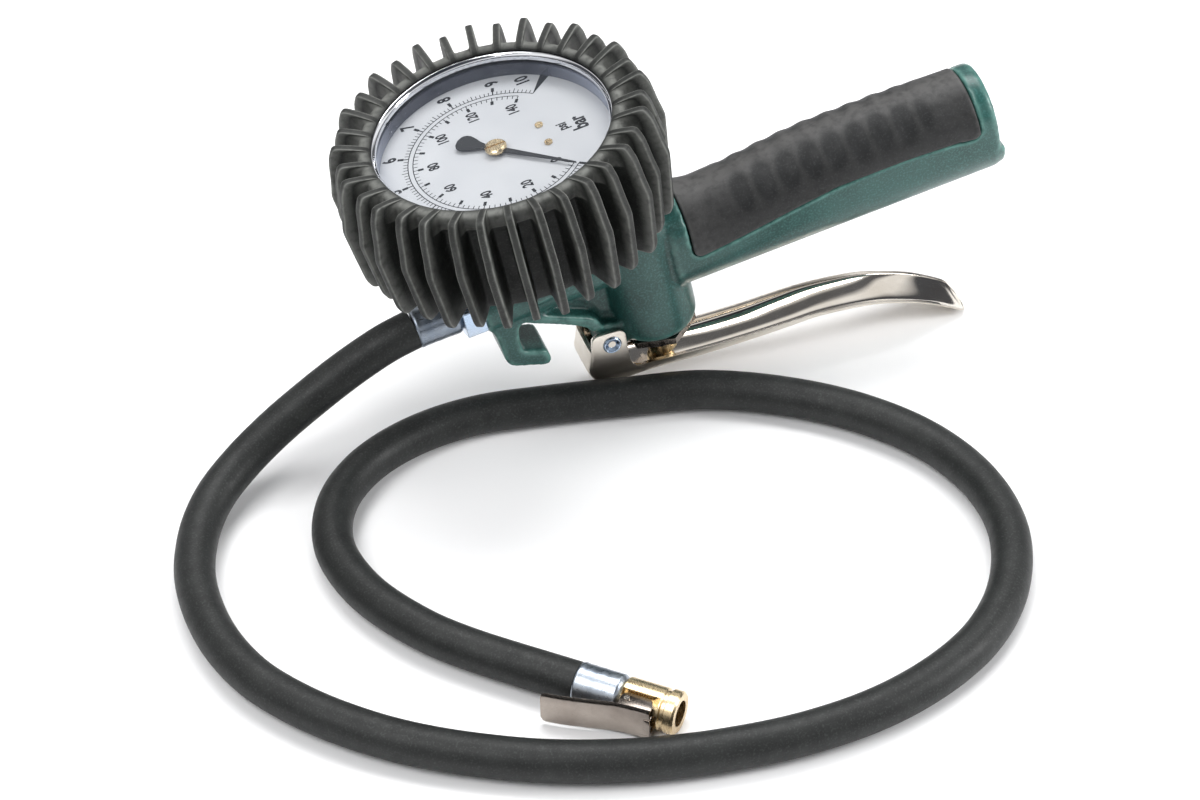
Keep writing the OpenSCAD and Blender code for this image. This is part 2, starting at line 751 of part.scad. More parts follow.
module pointer() {
    tail = arc(-11.6, 0, 3.4, 130, 230, 6);
    color(black) on_tool() translate([0, 0, dial_z + 1]) rotate([0, 0, zero_angle])
        linear_extrude(0.5) difference() {
            union() {
                polygon(concat(tail, [[-3, -0.9], [0, -1.2], [pointer_len - 8, -0.5],
                    [pointer_len, -0.1], [pointer_len, 0.1], [pointer_len - 8, 0.5], [0, 1.2],
                    [-3, 0.9]]));
                circle(2.6);
            }
            circle(arbor_r + seat);
        }
}

module pointer_hub() {
    color(brass) on_tool() translate([0, 0, dial_z + 1.5 + seat]) difference() {
        union() {
            cylinder(h = 0.8, r = 3.5);
            translate([0, 0, 0.8]) cylinder(h = 0.5, r1 = 3.5, r2 = 2.8);
        }
        translate([-4, -0.35, 0.7]) cube([8, 0.7, 1]);
        translate([0, 0, -1]) cylinder(h = 1.5 + seat, r = arbor_r + seat);
    }
}

module ring(z0, z1, r_in, r_out) {
    translate([0, 0, z0]) difference() {
        cylinder(h = z1 - z0, r = r_out, $fn = 96);
        translate([0, 0, -1]) cylinder(h = z1 - z0 + 2, r = r_in, $fn = 96);
    }
}

module glass_spacer() {
    color([0.7, 0.75, 0.85]) on_tool()
        ring(dial_z + seat, glass_z - seat, case_r - 1.2, case_r - slip);
}

module gauge_glass() {
    color([0.85, 0.9, 0.95, 0.35]) on_tool() translate([0, 0, glass_z])
        cylinder(h = glass_t, r = case_r - slip, $fn = 96);
}

module bezel_ring() {
    color("silver") on_tool() rotate_extrude($fn = 96)
        polygon([[bezel_in, bezel_z + seat], [case_r - slip, bezel_z + seat],
            [case_r - slip, case_top], [bezel_in + 0.7, case_top], [bezel_in, case_top - 0.8]]);
}

// ---- valve ----

module valve_gland() {
    low = -gland_low;
    step_r = gland_r - 1.2;
    color(brass) on_tool() translate([valve_x, 0, 0]) difference() {
        union() {
            rotate_extrude() polygon([[button_r + slip, low], [gland_r, low], [gland_r, -24],
                [step_r, -23.2], [step_r, -5], [step_r - 1, -4], [step_r - 1, 1],
                [step_r, gland_top - 1.4], [step_r, gland_top - seat],
                [way_r + 0.8, gland_top - seat], [way_r + 0.4, gland_top - 0.5],
                [way_r, gland_top - 1], [gallery_r, -1], [gallery_r, -10], [stem_r + run, -11],
                [stem_r + run, seal_z + 1.2], [stem_r + 1.4, seal_z + 1.2],
                [stem_r + 1.4, seal_z - 1.2], [stem_r + run, seal_z - 1.2],
                [stem_r + run, low + counterbore], [button_r + slip, low + counterbore]]);
            translate([0, 0, low]) rotate([0, 0, gland_turn]) difference() {
                cylinder(h = gland_hex - seat, r = gland_af / 2 / cos(30), $fn = 6);
                translate([0, 0, -1]) cylinder(h = gland_hex + 2, r = gland_r - 0.5);
            }
        }
        for (a = [0, 90]) rotate([0, 0, a]) rod(-10, 10, 1.5, -1.5);
    }
}

module gland_seal() {
    color(black) on_tool() translate([valve_x, 0, seal_z]) rotate_extrude()
        translate([stem_r + 0.7, 0]) circle(0.66, $fn = 24);
}

module valve_button() {
    sag = button_dome - sqrt(button_dome * button_dome - button_r * button_r);
    start = acos(button_r / button_dome);
    dome = [for (i = [0:6]) let (a = 90 - (90 - start) * i / 6)
        [button_dome * cos(a), -button_low + button_dome - button_dome * sin(a)]];
    head_top = -gland_low + counterbore - button_travel - slip;
    color(brass) on_tool() translate([valve_x, 0, 0]) rotate_extrude()
        polygon(concat(dome, [[button_r, -button_low + sag + 0.01], [button_r, head_top - 0.4],
            [button_r - 0.4, head_top], [stem_r, head_top], [stem_r, gland_top - seat],
            [0, gland_top - seat]]));
}

module valve_poppet() {
    color(black) on_tool() translate([valve_x, 0, gland_top + seat]) {
        cylinder(h = poppet_t, r = chamber_r - 0.5);
        translate([0, 0, poppet_t - 0.1]) cylinder(h = 1.6, r = 2);
    }
}

// Coil spring between the poppet and the top of the chamber
module valve_spring() {
    z0 = gland_top + poppet_t + 2 * seat + spring_wire / 2;
    z1 = chamber_top - seat - spring_wire / 2;
    steps = 8 * spring_turns;
    r = 3.4;
    rise = (z1 - z0) / steps;
    rings = [for (i = [0:steps]) let (a = 45 * i) [for (j = [0:5]) let (b = 60 * j)
        let (q = r + spring_wire / 2 * cos(b))
        [q * cos(a), q * sin(a), z0 + rise * i + spring_wire / 2 * sin(b)]]];
    color(zinc) on_tool() translate([valve_x, 0, 0]) skin_rings(rings);
}

// ---- lever ----

// One cross section: a trough of the row's height, squareness and width
function lever_section(p, dir, t) =
    let (half = lever_half + p[4])
    let (h = max(p[2], t + 0.05))
    let (normal = [-dir[1], dir[0]])
    let (m = lever_sides)
    let (bow = function (w, depth, base) [for (i = [0:m]) let (a = -90 + 180 * i / m)
        let (y = w * sign(a) * pow(abs(sin(a)), 2 / p[3]))
        let (up = base + depth * (1 - pow(abs(cos(a)), 2 / p[3])))
        [p[0] + normal[0] * up, y, p[1] + normal[1] * up]])
    let (outside = bow(half, h, 0))
    let (inside = bow(half - t, h - t, t))
    concat(outside, [for (i = [m:-1:0]) inside[i]]);

module lever_pressing() {
    last = (len(lever_path) - 1) * lever_steps;
    rings = [for (i = [0:last]) let (t = i / lever_steps)
        let (p = on_curve(lever_path, t))
        let (a = on_curve(lever_path, max(0, t - 0.05)))
        let (b = on_curve(lever_path, min(last / lever_steps, t + 0.05)))
        lever_section(p, unit([b[0] - a[0], b[1] - a[1]]), sheet)];
    skin_rings(rings);
}

module lever_ear() {
    polygon(concat([[9.9, -38], [12.6, -26]], arc(14.1, -25.8, 1.5, 170, 95, 3),
        arc(21.7, -27.5, 2.2, 80, 0, 4), [[23.2, -39], [24.2, -42], [27.5, -43.6], [28, -46.2],
        [20, -45.5], [13.2, -43.6], [10.4, -41]]));
}

module lever() {
    color(nickel) on_tool() difference() {
        union() {
            lever_pressing();
            for (s = [-1, 1]) across(sheet, s * (lever_half - sheet / 2)) lever_ear();
        }
        translate([pin_x, 30, -pin_low]) rotate([90, 0, 0]) cylinder(h = 60, r = pin_r + seat);
    }
}

module lever_rivet() {
    head = 0.9;
    bore = 1.2;
    dish = 2.2;
    color([0.55, 0.68, 0.85]) on_tool() translate([pin_x, 0, -pin_low]) rotate([90, 0, 0])
        rotate_extrude() polygon([[bore, -lever_half], [dish, -lever_half - head + 0.2],
            [dish + 0.3, -lever_half - head], [rivet_r - 0.4, -lever_half - head],
            [rivet_r, -lever_half - 0.4], [rivet_r, -lever_half - seat], [pin_r, -lever_half - seat],
            [pin_r, lever_half + seat], [rivet_r, lever_half + seat], [rivet_r, lever_half + 0.4],
            [rivet_r - 0.4, lever_half + head], [dish + 0.3, lever_half + head],
            [dish, lever_half + head - 0.2], [bore, lever_half]]);
}

// ---- hose ----

module hose_fitting() {
    color(zinc) on_tool() difference() {
        union() {
            translate([ferrule_x, 0, 0]) rotate([0, 90, 0])
                cylinder(h = nut_t - seat, r = nut_af / 2 / cos(30), $fn = 6);
            rod(nut_x - 1, nut_x + spigot_len, spigot_r);
            rod(hose_x + 1, ferrule_x + 1, tail_r);
        }
        rod(hose_x, nut_x + spigot_len + 1, 2);
    }
}

module ferrule_tube() {
    profile = [[tail_r + seat, 0], [ferrule_r - 0.5, 0], [ferrule_r, 0.6],
        [ferrule_r, ferrule_len - 1.5], [ferrule_r - 1.2, ferrule_len], [tail_r + seat, ferrule_len]];
    rotate([0, 90, 0]) rotate_extrude() polygon(profile);
}

module near_ferrule() {
    color(zinc) on_tool() translate([hose_x, 0, 0]) ferrule_tube();
}

// Ring of the hose round a point of its curve
function hose_ring(t, last) =
    let (p = on_curve(hose_route, t))
    let (a = on_curve(hose_route, max(0, t - 0.1)))
    let (b = on_curve(hose_route, min(last, t + 0.1)))
    let (d = t == 0 ? [-cos(pitch), 0, -sin(pitch)]
        : t == last ? [cos(chuck_turn), sin(chuck_turn), 0] : unit(b - a))
    let (side = unit(cross([0, 0, 1], d)))
    let (up = cross(d, side))
    [for (i = [0:hose_sides - 1]) let (q = 360 * (i + 0.5) / hose_sides)
        p + hose_r * (cos(q) * side + sin(q) * up)];

module hose() {
    last = len(hose_route) - 1;
    rings = [for (i = [0:2 * last]) hose_ring(i / 2, last)];
    color(black) translate([stand_x, 0, 0]) skin_rings(rings);
}

// ---- chuck ----

module chuck_ferrule() {
    color(zinc) on_chuck() ferrule_tube();
}

module chuck_body() {
    profile = [[2, body_x - 13], [tail_r - 0.4, body_x - 13], [tail_r, body_x - 12],
        [tail_r, body_x + seat], [chuck_r - 0.8, body_x + seat], [chuck_r, body_x + 0.8],
        [chuck_r, mouth_x - 5], [chuck_r - 0.6, mouth_x - 4.6], [chuck_r - 0.6, mouth_x - 3.6],
        [chuck_r + 0.2, mouth_x - 3.2], [chuck_r + 0.2, mouth_x - 0.6], [chuck_r - 0.4, mouth_x],
        [mouth_r, mouth_x], [mouth_r, seal_x + seal_t], [seal_r, seal_x + seal_t],
        [seal_r, seal_x], [2, seal_x]];
    color(brass) on_chuck() difference() {
        rotate([0, 90, 0]) rotate_extrude() polygon(profile);
        // flats, spring pocket and pin hole of the clip
        for (s = [-1, 1]) translate([cheek_x, -chuck_r - 1, s > 0 ? flat_z : -flat_z - 5])
            cube([mouth_x - 5.5 - cheek_x, chuck_r - 1, 5]);
        translate([clip_pin_x - 1.85, -chuck_r - 1, -2.2]) cube([3.6, chuck_r + clip_pin_y + 2.9, 4.4]);
        translate([clip_pin_x, clip_pin_y, -10]) cylinder(h = 20, r = clip_pin_r + run);
        // slot that lets the claw into the mouth
        translate([mouth_x - 9, -chuck_r - 1, -2.4]) cube([3.8, 5.5, 4.8]);
    }
}

module chuck_seal() {
    color(black) on_chuck() translate([seal_x + seat, 0, 0]) rotate([0, 90, 0])
        rotate_extrude() polygon([[1.8, 0], [seal_r - seat, 0], [seal_r - seat, seal_t - seat],
            [2.6, seal_t - seat], [1.8, seal_t - 0.8]]);
}

module valve_depressor() {
    color(brass) on_chuck() difference() {
        union() {
            rod(seal_x - 4, seal_x + seal_t - 0.4, 1.1);
            rod(seal_x - 6, seal_x - 3.5, 2 - seat);
        }
        for (y = [-1.5, 1.5]) rod(seal_x - 7, seal_x - 3, 0.5, 0, y);
    }
}

module clip_plan() {
    outer = [[-6.4, -13.9], [0, -12.9], [6, -11.5], [12, -10], [17, -8.9], [26.5, -8.3]];
    inner = [for (i = [5:-1:0]) outer[i] + [0.1, clip_t]];
    polygon(concat(outer, inner));
}

module chuck_clip() {
    cheek_end = mouth_x - 6.5;
    claw_x = mouth_x - 8.4;
    color(nickel) on_chuck() difference() {
        union() {
            translate([0, 0, -clip_half]) linear_extrude(2 * clip_half) clip_plan();
            for (s = [-1, 1]) translate([cheek_x + 0.4, -9, s > 0 ? flat_z + slip : -flat_z - slip - clip_t])
                cube([cheek_end - cheek_x - 0.4, 6.4, clip_t]);
            translate([claw_x, -8.6, -2.1]) cube([2, 4.2, 4.2]);
        }
        translate([clip_pin_x, clip_pin_y, -10]) cylinder(h = 20, r = clip_pin_r + seat);
    }
}

module clip_pin() {
    reach = flat_z + slip + clip_t;
    color(nickel) on_chuck() translate([clip_pin_x, clip_pin_y, -reach - 0.4])
        cylinder(h = 2 * reach + 0.8, r = clip_pin_r);
}

module clip_spring() {
    turns = 3;
    r = 1.45;
    wire = 0.4;
    rise = 3.4 / (8 * turns);
    rings = [for (i = [0:8 * turns]) let (a = 45 * i) [for (j = [0:5]) let (b = 60 * j)
        let (q = r + wire / 2 * cos(b))
        [q * cos(a), q * sin(a), rise * i - 1.7 + wire / 2 * sin(b)]]];
    color(zinc) on_chuck() translate([clip_pin_x, clip_pin_y, 0]) skin_rings(rings);
}

housing();
grip_insert();
inlet_bush();
inlet_filter();
gauge_boot();
gauge_case();
gauge_socket();
bourdon_tube();
movement_plates();
movement_pillars();
sector_gear();
pinion_arbor();
tip_link();
hairspring();
dial();
dial_screws();
pointer();
pointer_hub();
glass_spacer();
gauge_glass();
bezel_ring();
valve_gland();
gland_seal();
valve_button();
valve_poppet();
valve_spring();
lever();
lever_rivet();
hose_fitting();
near_ferrule();
hose();
chuck_ferrule();
chuck_body();
chuck_seal();
valve_depressor();
chuck_clip();
clip_pin();
clip_spring();
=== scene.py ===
import bpy
import bmesh
import numpy as np
from mathutils import Matrix


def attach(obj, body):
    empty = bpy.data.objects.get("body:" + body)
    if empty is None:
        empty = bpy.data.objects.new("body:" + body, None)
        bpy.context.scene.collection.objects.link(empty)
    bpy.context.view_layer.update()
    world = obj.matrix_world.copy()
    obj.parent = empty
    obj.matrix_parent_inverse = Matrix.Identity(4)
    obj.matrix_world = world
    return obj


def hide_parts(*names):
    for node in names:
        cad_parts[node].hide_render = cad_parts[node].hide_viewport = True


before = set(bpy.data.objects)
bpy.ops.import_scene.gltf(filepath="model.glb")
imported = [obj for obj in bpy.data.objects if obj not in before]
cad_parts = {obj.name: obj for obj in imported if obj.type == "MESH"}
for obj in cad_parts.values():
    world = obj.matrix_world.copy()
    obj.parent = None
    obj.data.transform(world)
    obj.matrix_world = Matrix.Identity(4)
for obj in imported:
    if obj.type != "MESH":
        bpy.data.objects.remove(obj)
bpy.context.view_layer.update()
print("frame loaded:", len(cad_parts), "nodes")

# Where the tool's own axes and the chuck's stand, in mm and degrees
stance = {"pitch": 10.5, "x": -49.8334, "z": 48.8686,
          "chuckX": -32.0, "chuckY": -137.0, "chuckZ": 6.8, "chuckTurn": -43.0}


# Tool millimetres to scene metres: turned by the pitch about Y, then moved to the stance
def onTool(points):
    p = np.asarray(points, float)
    a = np.radians(stance["pitch"])
    x = np.cos(a) * p[..., 0] - np.sin(a) * p[..., 2] + stance["x"]
    z = np.sin(a) * p[..., 0] + np.cos(a) * p[..., 2] + stance["z"]
    return np.stack([x, p[..., 1], z], -1) / 1000


# Chuck millimetres to scene metres: turned about Z, then moved to the chuck's place
def onChuck(points):
    p = np.asarray(points, float)
    a = np.radians(stance["chuckTurn"])
    x = np.cos(a) * p[..., 0] - np.sin(a) * p[..., 1] + stance["x"] + stance["chuckX"]
    y = np.sin(a) * p[..., 0] + np.cos(a) * p[..., 1] + stance["chuckY"]
    return np.stack([x, y, p[..., 2] + stance["chuckZ"]], -1) / 1000


# ---- shapes as arrays ----

# Smooth curve through points: cubic between neighbours, tangents from the points around
def smoothCurve(points, perSpan):
    p = np.asarray(points, float)
    ends = np.vstack([2 * p[0] - p[1], p, 2 * p[-1] - p[-2]])
    t = np.linspace(0, 1, perSpan, endpoint=False)[:, None]
    a, b, c, d = (ends[i:len(ends) - 3 + i, None] for i in range(4))
    body = (b + t * (c - a) / 2 + t**2 * (2 * a - 5 * b + 4 * c - d) / 2
            + t**3 * (3 * b - a - 3 * c + d) / 2)
    return np.vstack([body.reshape(-1, p.shape[1]), p[-1:]])


# Each row divided by its length
def unitRows(v):
    return v / np.linalg.norm(v, axis=1, keepdims=True)


# Length of a line up to each of its points
def runAlong(p):
    return np.concatenate([[0], np.cumsum(np.linalg.norm(np.diff(p, axis=0), axis=1))])


# 1 in the middle, falling with the square of the distance over the spread
def bell(value, middle, spread):
    return np.exp(-((value - middle) / spread) ** 2)


# Points spaced evenly along a line by its own length
def spacedAlong(points, count):
    p = np.asarray(points, float)
    run = runAlong(p)
    at = np.linspace(0, run[-1], count)
    return np.stack([np.interp(at, run, p[:, i]) for i in range(p.shape[1])], -1)


# Closed outline with each corner turned into a curve that starts a given distance from it, at most
# 0.45 of the shorter side there
def rounded(points, radius, steps=4):
    p = np.asarray(points, float)
    before, after = np.roll(p, 1, 0) - p, np.roll(p, -1, 0) - p
    lb = np.linalg.norm(before, axis=1, keepdims=True)
    la = np.linalg.norm(after, axis=1, keepdims=True)
    wanted = np.broadcast_to(np.asarray(radius, float), len(p))[:, None]
    cut = np.minimum(wanted, 0.45 * np.minimum(lb, la))
    start, end = p + before / lb * cut, p + after / la * cut
    t = np.linspace(0, 1, steps + 1)[None, :, None]
    curve = (1 - t)**2 * start[:, None] + 2 * t * (1 - t) * p[:, None] + t**2 * end[:, None]
    out = curve.reshape(-1, p.shape[1])
    keep = np.linalg.norm(np.diff(out, axis=0, prepend=out[:1] - 1), axis=1) > 1e-6
    return out[keep]


# Surface of revolution: profile [radius, height] turned about Z, or about X when lying
def turned(profile, sides=96, lying=False):
    r, h = np.asarray(profile, float).T
    t = np.linspace(0, 2 * np.pi, sides, endpoint=False)[:, None]
    a, b, c = r * np.cos(t), r * np.sin(t), np.broadcast_to(h, (sides, len(h)))
    return np.stack([c, a, b], -1) if lying else np.stack([a, b, c], -1)


# Plate between two heights over an outline [x, y]. Its rim is eased: the end rings are pulled in by
# the edge, and a ring a third of the way along by a third of it
def plateGrid(outline, low, high, edge=0.2):
    o = np.asarray(outline, float)
    tangent = unitRows(np.roll(o, -1, 0) - np.roll(o, 1, 0))
    area = np.sum(o[:, 0] * np.roll(o[:, 1], -1) - np.roll(o[:, 0], -1) * o[:, 1])
    outward = np.stack([tangent[:, 1], -tangent[:, 0]], -1) * np.sign(area)
    rings, third = [], edge * 0.3
    for pull, z in ((edge, low), (third, low + third), (0, low + edge),
                    (0, high - edge), (third, high - third), (edge, high)):
        rings.append(np.column_stack([o - outward * pull, np.full(len(o), z)]))
    return np.stack(rings)


# Tube round a path: frames carried along without twist, radius given at each point
def tubeGrid(path, radius, sides):
    p = np.asarray(path, float)
    d = unitRows(np.gradient(p, axis=0))
    side = unitRows(np.cross([0.0, 0.0, 1.0], d))
    up = np.cross(d, side)
    t = np.linspace(0, 2 * np.pi, sides, endpoint=False)[None, :, None]
    r = np.broadcast_to(np.asarray(radius, float), len(p))[:, None, None]
    return p[:, None] + r * (np.cos(t) * side[:, None] + np.sin(t) * up[:, None])


# ---- from arrays to pieces ----
# Distances in metres under which points are merged, and the easing of copied solids
meshLook = {"mergeGrid": 2e-7, "mergeSolid": 2e-6, "mergePrint": 1e-7, "flatAngle": 0.6,
            "easeSegments": 2, "easeAngle": 28, "sharpAngle": 32}


# Faces over a grid of points; a wrapped direction closes on itself, a cap closes an end ring
def gridFaces(shape, wrapRows=False, wrapColumns=False, caps=False):
    index = np.arange(shape[0] * shape[1]).reshape(shape[:2])
    if wrapRows:
        index = np.vstack([index, index[:1]])
    if wrapColumns:
        index = np.hstack([index, index[:, :1]])
    quads = np.stack([index[:-1, :-1], index[1:, :-1], index[1:, 1:], index[:-1, 1:]], -1)
    faces = quads.reshape(-1, 4).tolist()
    if caps:
        faces += [index[0, :shape[1]].tolist(), index[-1, :shape[1]][::-1].tolist()]
    return faces


def addObject(name, data):
    obj = bpy.data.objects.new(name, data)
    bpy.context.scene.collection.objects.link(obj)
    return obj


# Object from one or more grids: doubles merged, faces turned outwards, edges sharp above an angle
def makePiece(name, parts, body, material, stands=(), sharp=32, place=onTool, wearAndLight=None):
    points, faces, shift = [], [], 0
    for grid, options in parts:
        points.append(place(grid.reshape(-1, 3)))
        faces += [[i + shift for i in face] for face in gridFaces(grid.shape, **options)]
        shift += len(points[-1])
    mesh = bpy.data.meshes.new(name)
    mesh.from_pydata(np.vstack(points).tolist(), [], faces)
    if wearAndLight is not None:
        setWear(mesh, wearAndLight)
    bm = bmesh.new()
    bm.from_mesh(mesh)
    bmesh.ops.remove_doubles(bm, verts=bm.verts, dist=meshLook["mergeGrid"])
    bmesh.ops.recalc_face_normals(bm, faces=bm.faces)
    bm.to_mesh(mesh)
    bm.free()
    return dress(addObject(name, mesh), body, material, stands, sharp)


# How a grid closes: along its columns with both ends capped, or both ways
capped = {"wrapColumns": True, "caps": True}
loop = {"wrapRows": True, "wrapColumns": True}


def setWear(mesh, values):
    layer = mesh.attributes.new("wearAndLight", "FLOAT", "POINT")
    layer.data.foreach_set("value", np.asarray(values, np.float32).ravel())


# What every new piece gets: smooth shading, its finish, its body and the nodes it stands for
def dress(obj, body, material, stands=(), sharp=32):
    obj.data.polygons.foreach_set("use_smooth", np.ones(len(obj.data.polygons), bool))
    obj.data.set_sharp_from_angle(angle=np.radians(sharp))
    obj.data.materials.clear()
    obj.data.materials.append(material)
    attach(obj, body)
    if stands:
        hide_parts(*stands)
    return obj


# Copy of a solid's mesh with its loose triangles merged, and flat ones joined when asked
def mergedCopy(node, joinFlat):
    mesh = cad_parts[node].data.copy()
    bm = bmesh.new()
    bm.from_mesh(mesh)
    bmesh.ops.remove_doubles(bm, verts=bm.verts, dist=meshLook["mergeSolid"])
    if joinFlat:
        bmesh.ops.dissolve_limit(bm, angle_limit=np.radians(meshLook["flatAngle"]), verts=bm.verts, edges=bm.edges)
    bm.to_mesh(mesh)
    bm.free()
    return mesh


# A solid with its edges bevelled, in a second finish where one is given
def easedCopy(node, body, material, ease, edgeFinish=None):
    obj = addObject(node + "_eased", mergedCopy(node, True))
    bevel = obj.modifiers.new("eased edges", "BEVEL")
    bevel.width, bevel.segments, bevel.limit_method = ease / 1000, meshLook["easeSegments"], "ANGLE"
    bevel.angle_limit, bevel.use_clamp_overlap = np.radians(meshLook["easeAngle"]), True
    bevel.miter_outer = "MITER_ARC"
    obj.modifiers.new("even shading", "WEIGHTED_NORMAL").keep_sharp = True
    dress(obj, body, material, (node,), meshLook["sharpAngle"])
    if edgeFinish:
        obj.data.materials.append(edgeFinish)
        bevel.material = 1
    bpy.context.view_layer.update()
    return obj


# ---- materials ----

def shaderOf(material):
    return material.node_tree.nodes["Principled BSDF"]


def newFinish(name, color, rough, metal=0.0, **sockets):
    material = bpy.data.materials.new(name)
    material.use_nodes = True
    shader = shaderOf(material)
    shader.inputs["Base Color"].default_value = (*color, 1)
    shader.inputs["Roughness"].default_value = rough
    shader.inputs["Metallic"].default_value = metal
    for key, value in sockets.items():
        shader.inputs[key.replace("_", " ")].default_value = value
    return material


# Noise on Object coordinates, in features per metre, stretched where the finish has a grain
def grain(material, scale, detail=3.0, stretch=(1, 1, 1), turn=(0, 0, 0), kind="ShaderNodeTexNoise"):
    tree = material.node_tree
    coords = tree.nodes.new("ShaderNodeTexCoord")
    mapping = tree.nodes.new("ShaderNodeMapping")
    mapping.inputs["Scale"].default_value = stretch
    mapping.inputs["Rotation"].default_value = [np.radians(v) for v in turn]
    texture = tree.nodes.new(kind)
    texture.inputs["Scale"].default_value = scale
    if kind == "ShaderNodeTexNoise":
        texture.inputs["Detail"].default_value = detail
    tree.links.new(coords.outputs["Object"], mapping.inputs["Vector"])
    tree.links.new(mapping.outputs["Vector"], texture.inputs["Vector"])
    return texture.outputs["Distance" if kind == "ShaderNodeTexVoronoi" else 0]


# Place along one Object axis, in metres
def placeAlong(material, axis):
    tree = material.node_tree
    coords, parts = tree.nodes.new("ShaderNodeTexCoord"), tree.nodes.new("ShaderNodeSeparateXYZ")
    tree.links.new(coords.outputs["Object"], parts.inputs[0])
    return parts.outputs[axis]


def ranged(material, value, low, high, toLow, toHigh):
    node = material.node_tree.nodes.new("ShaderNodeMapRange")
    for key, number in zip(("From Min", "From Max", "To Min", "To Max"), (low, high, toLow, toHigh)):
        node.inputs[key].default_value = number
    material.node_tree.links.new(value, node.inputs["Value"])
    return node.outputs["Result"]


# A socket is given a colour, a number or another node's output
def feed(material, socket, value):
    if isinstance(value, tuple):
        socket.default_value = (*value, 1)
    elif isinstance(value, (int, float)):
        socket.default_value = value
    else:
        material.node_tree.links.new(value, socket)


def maths(material, operation, a, b):
    node = material.node_tree.nodes.new("ShaderNodeMath")
    node.operation = operation
    for socket, value in zip(node.inputs, (a, b)):
        feed(material, socket, value)
    return node.outputs[0]


def blended(material, factor, first, second):
    node = material.node_tree.nodes.new("ShaderNodeMix")
    node.data_type = "RGBA"
    for key, value in (("Factor", factor), (6, first), (7, second)):
        feed(material, node.inputs[key], value)
    return node.outputs[2]


def drive(material, key, value):
    feed(material, shaderOf(material).inputs[key], value)


def relief(material, height, distance, strength=1.0):
    tree = material.node_tree
    node = tree.nodes.new("ShaderNodeBump")
    node.inputs["Distance"].default_value = distance
    node.inputs["Strength"].default_value = strength
    tree.links.new(height, node.inputs["Height"])
    old = [link.from_socket for link in shaderOf(material).inputs["Normal"].links]
    if old:
        tree.links.new(old[0], node.inputs["Normal"])
    drive(material, "Normal", node.outputs["Normal"])


def attribute(material, name):
    node = material.node_tree.nodes.new("ShaderNodeAttribute")
    node.attribute_name = name
    return node.outputs["Fac"]


# Satin paint on a casting: slow colour drift, fine orange peel; paler along raised edges, partly worn paint, partly a
# painted edge highlight
paintLook = {"deep": (0.009, 0.047, 0.041), "light": (0.019, 0.077, 0.068), "rough": (0.30, 0.38),
             "peel": 1100, "peelDepth": 0.00004, "edge": (0.10, 0.24, 0.21), "speckle": (0.05, 0.17, 0.155)}
paint = newFinish("casting_paint", paintLook["light"], 0.32)
paintTone = blended(paint, ranged(paint, grain(paint, 55), 0.35, 0.65, 0, 1), paintLook["deep"], paintLook["light"])
speckle = ranged(paint, grain(paint, 1500, 3), 0.48, 0.7, 0, 0.6)
paintTone = blended(paint, speckle, paintTone, paintLook["speckle"])
patchy = ranged(paint, grain(paint, 350, 5), 0.35, 0.6, 0.35, 1)
paintWornAndLit = maths(paint, "MULTIPLY", attribute(paint, "wearAndLight"), patchy)
# Raised edges take the paler edge colour: worn paint and a painted highlight along the edges
drive(paint, "Base Color", blended(paint, paintWornAndLit, paintTone, paintLook["edge"]))
drive(paint, "Roughness", ranged(paint, grain(paint, 240), 0.3, 0.7, *paintLook["rough"]))
relief(paint, grain(paint, paintLook["peel"], 3), paintLook["peelDepth"], 0.6)
drive(paint, "Coat Weight", 0.06)
drive(paint, "Coat Roughness", 0.2)


# Black rubber: pebbled skin, mottled tone with pale flecks 2.2 times the dusty one, lighter where the
# wear-and-light attribute says so: real wear, and painted highlight and shade where a piece paints them
def rubberFinish(name, dark, dusty, rough, pebble, depth, wornAndLit=False):
    finish = newFinish(name, dark, rough[0])
    tone = ranged(finish, grain(finish, 130, 5), 0.38, 0.68, 0, 1)
    color = blended(finish, maths(finish, "MULTIPLY", tone, 0.45), dark, dusty)
    fleck = ranged(finish, grain(finish, 1500, 3), 0.52, 0.74, 0, 0.45)
    color = blended(finish, fleck, color, tuple(2.2 * v for v in dusty))
    if wornAndLit:
        patchy = ranged(finish, grain(finish, 420, 6), 0.3, 0.55, 0.5, 1)
        color = blended(finish, maths(finish, "MULTIPLY", attribute(finish, "wearAndLight"), patchy), color, wornAndLit)
    drive(finish, "Base Color", color)
    drive(finish, "Roughness", ranged(finish, grain(finish, 300), 0.3, 0.7, *rough))
    relief(finish, grain(finish, pebble, 3), depth, 0.6)
    return finish


# Bare metal: fine scratches along a grain, cloudy polish
def metalFinish(name, color, dull, rough, stretch=(1, 1, 1), scale=600, depth=0.000006, turn=(0, 0, 0)):
    finish = newFinish(name, color, rough[0], 1.0)
    clouds = ranged(finish, grain(finish, 90, 4), 0.35, 0.7, 0, 1)
    drive(finish, "Base Color", blended(finish, clouds, color, dull))
    scratches = grain(finish, scale, 4, stretch, turn)
    drive(finish, "Roughness", ranged(finish, scratches, 0.3, 0.7, *rough))
    relief(finish, scratches, depth, 0.4)
    return finish


# Grip: its pale colour is a painted highlight along the crest, its dark colour painted shade in the hollows
gripRubber = rubberFinish("soft_grip", (0.005, 0.0055, 0.006), (0.018, 0.0185, 0.0195),
                          (0.46, 0.58), 1500, 0.00005, wornAndLit=(0.10, 0.098, 0.096))
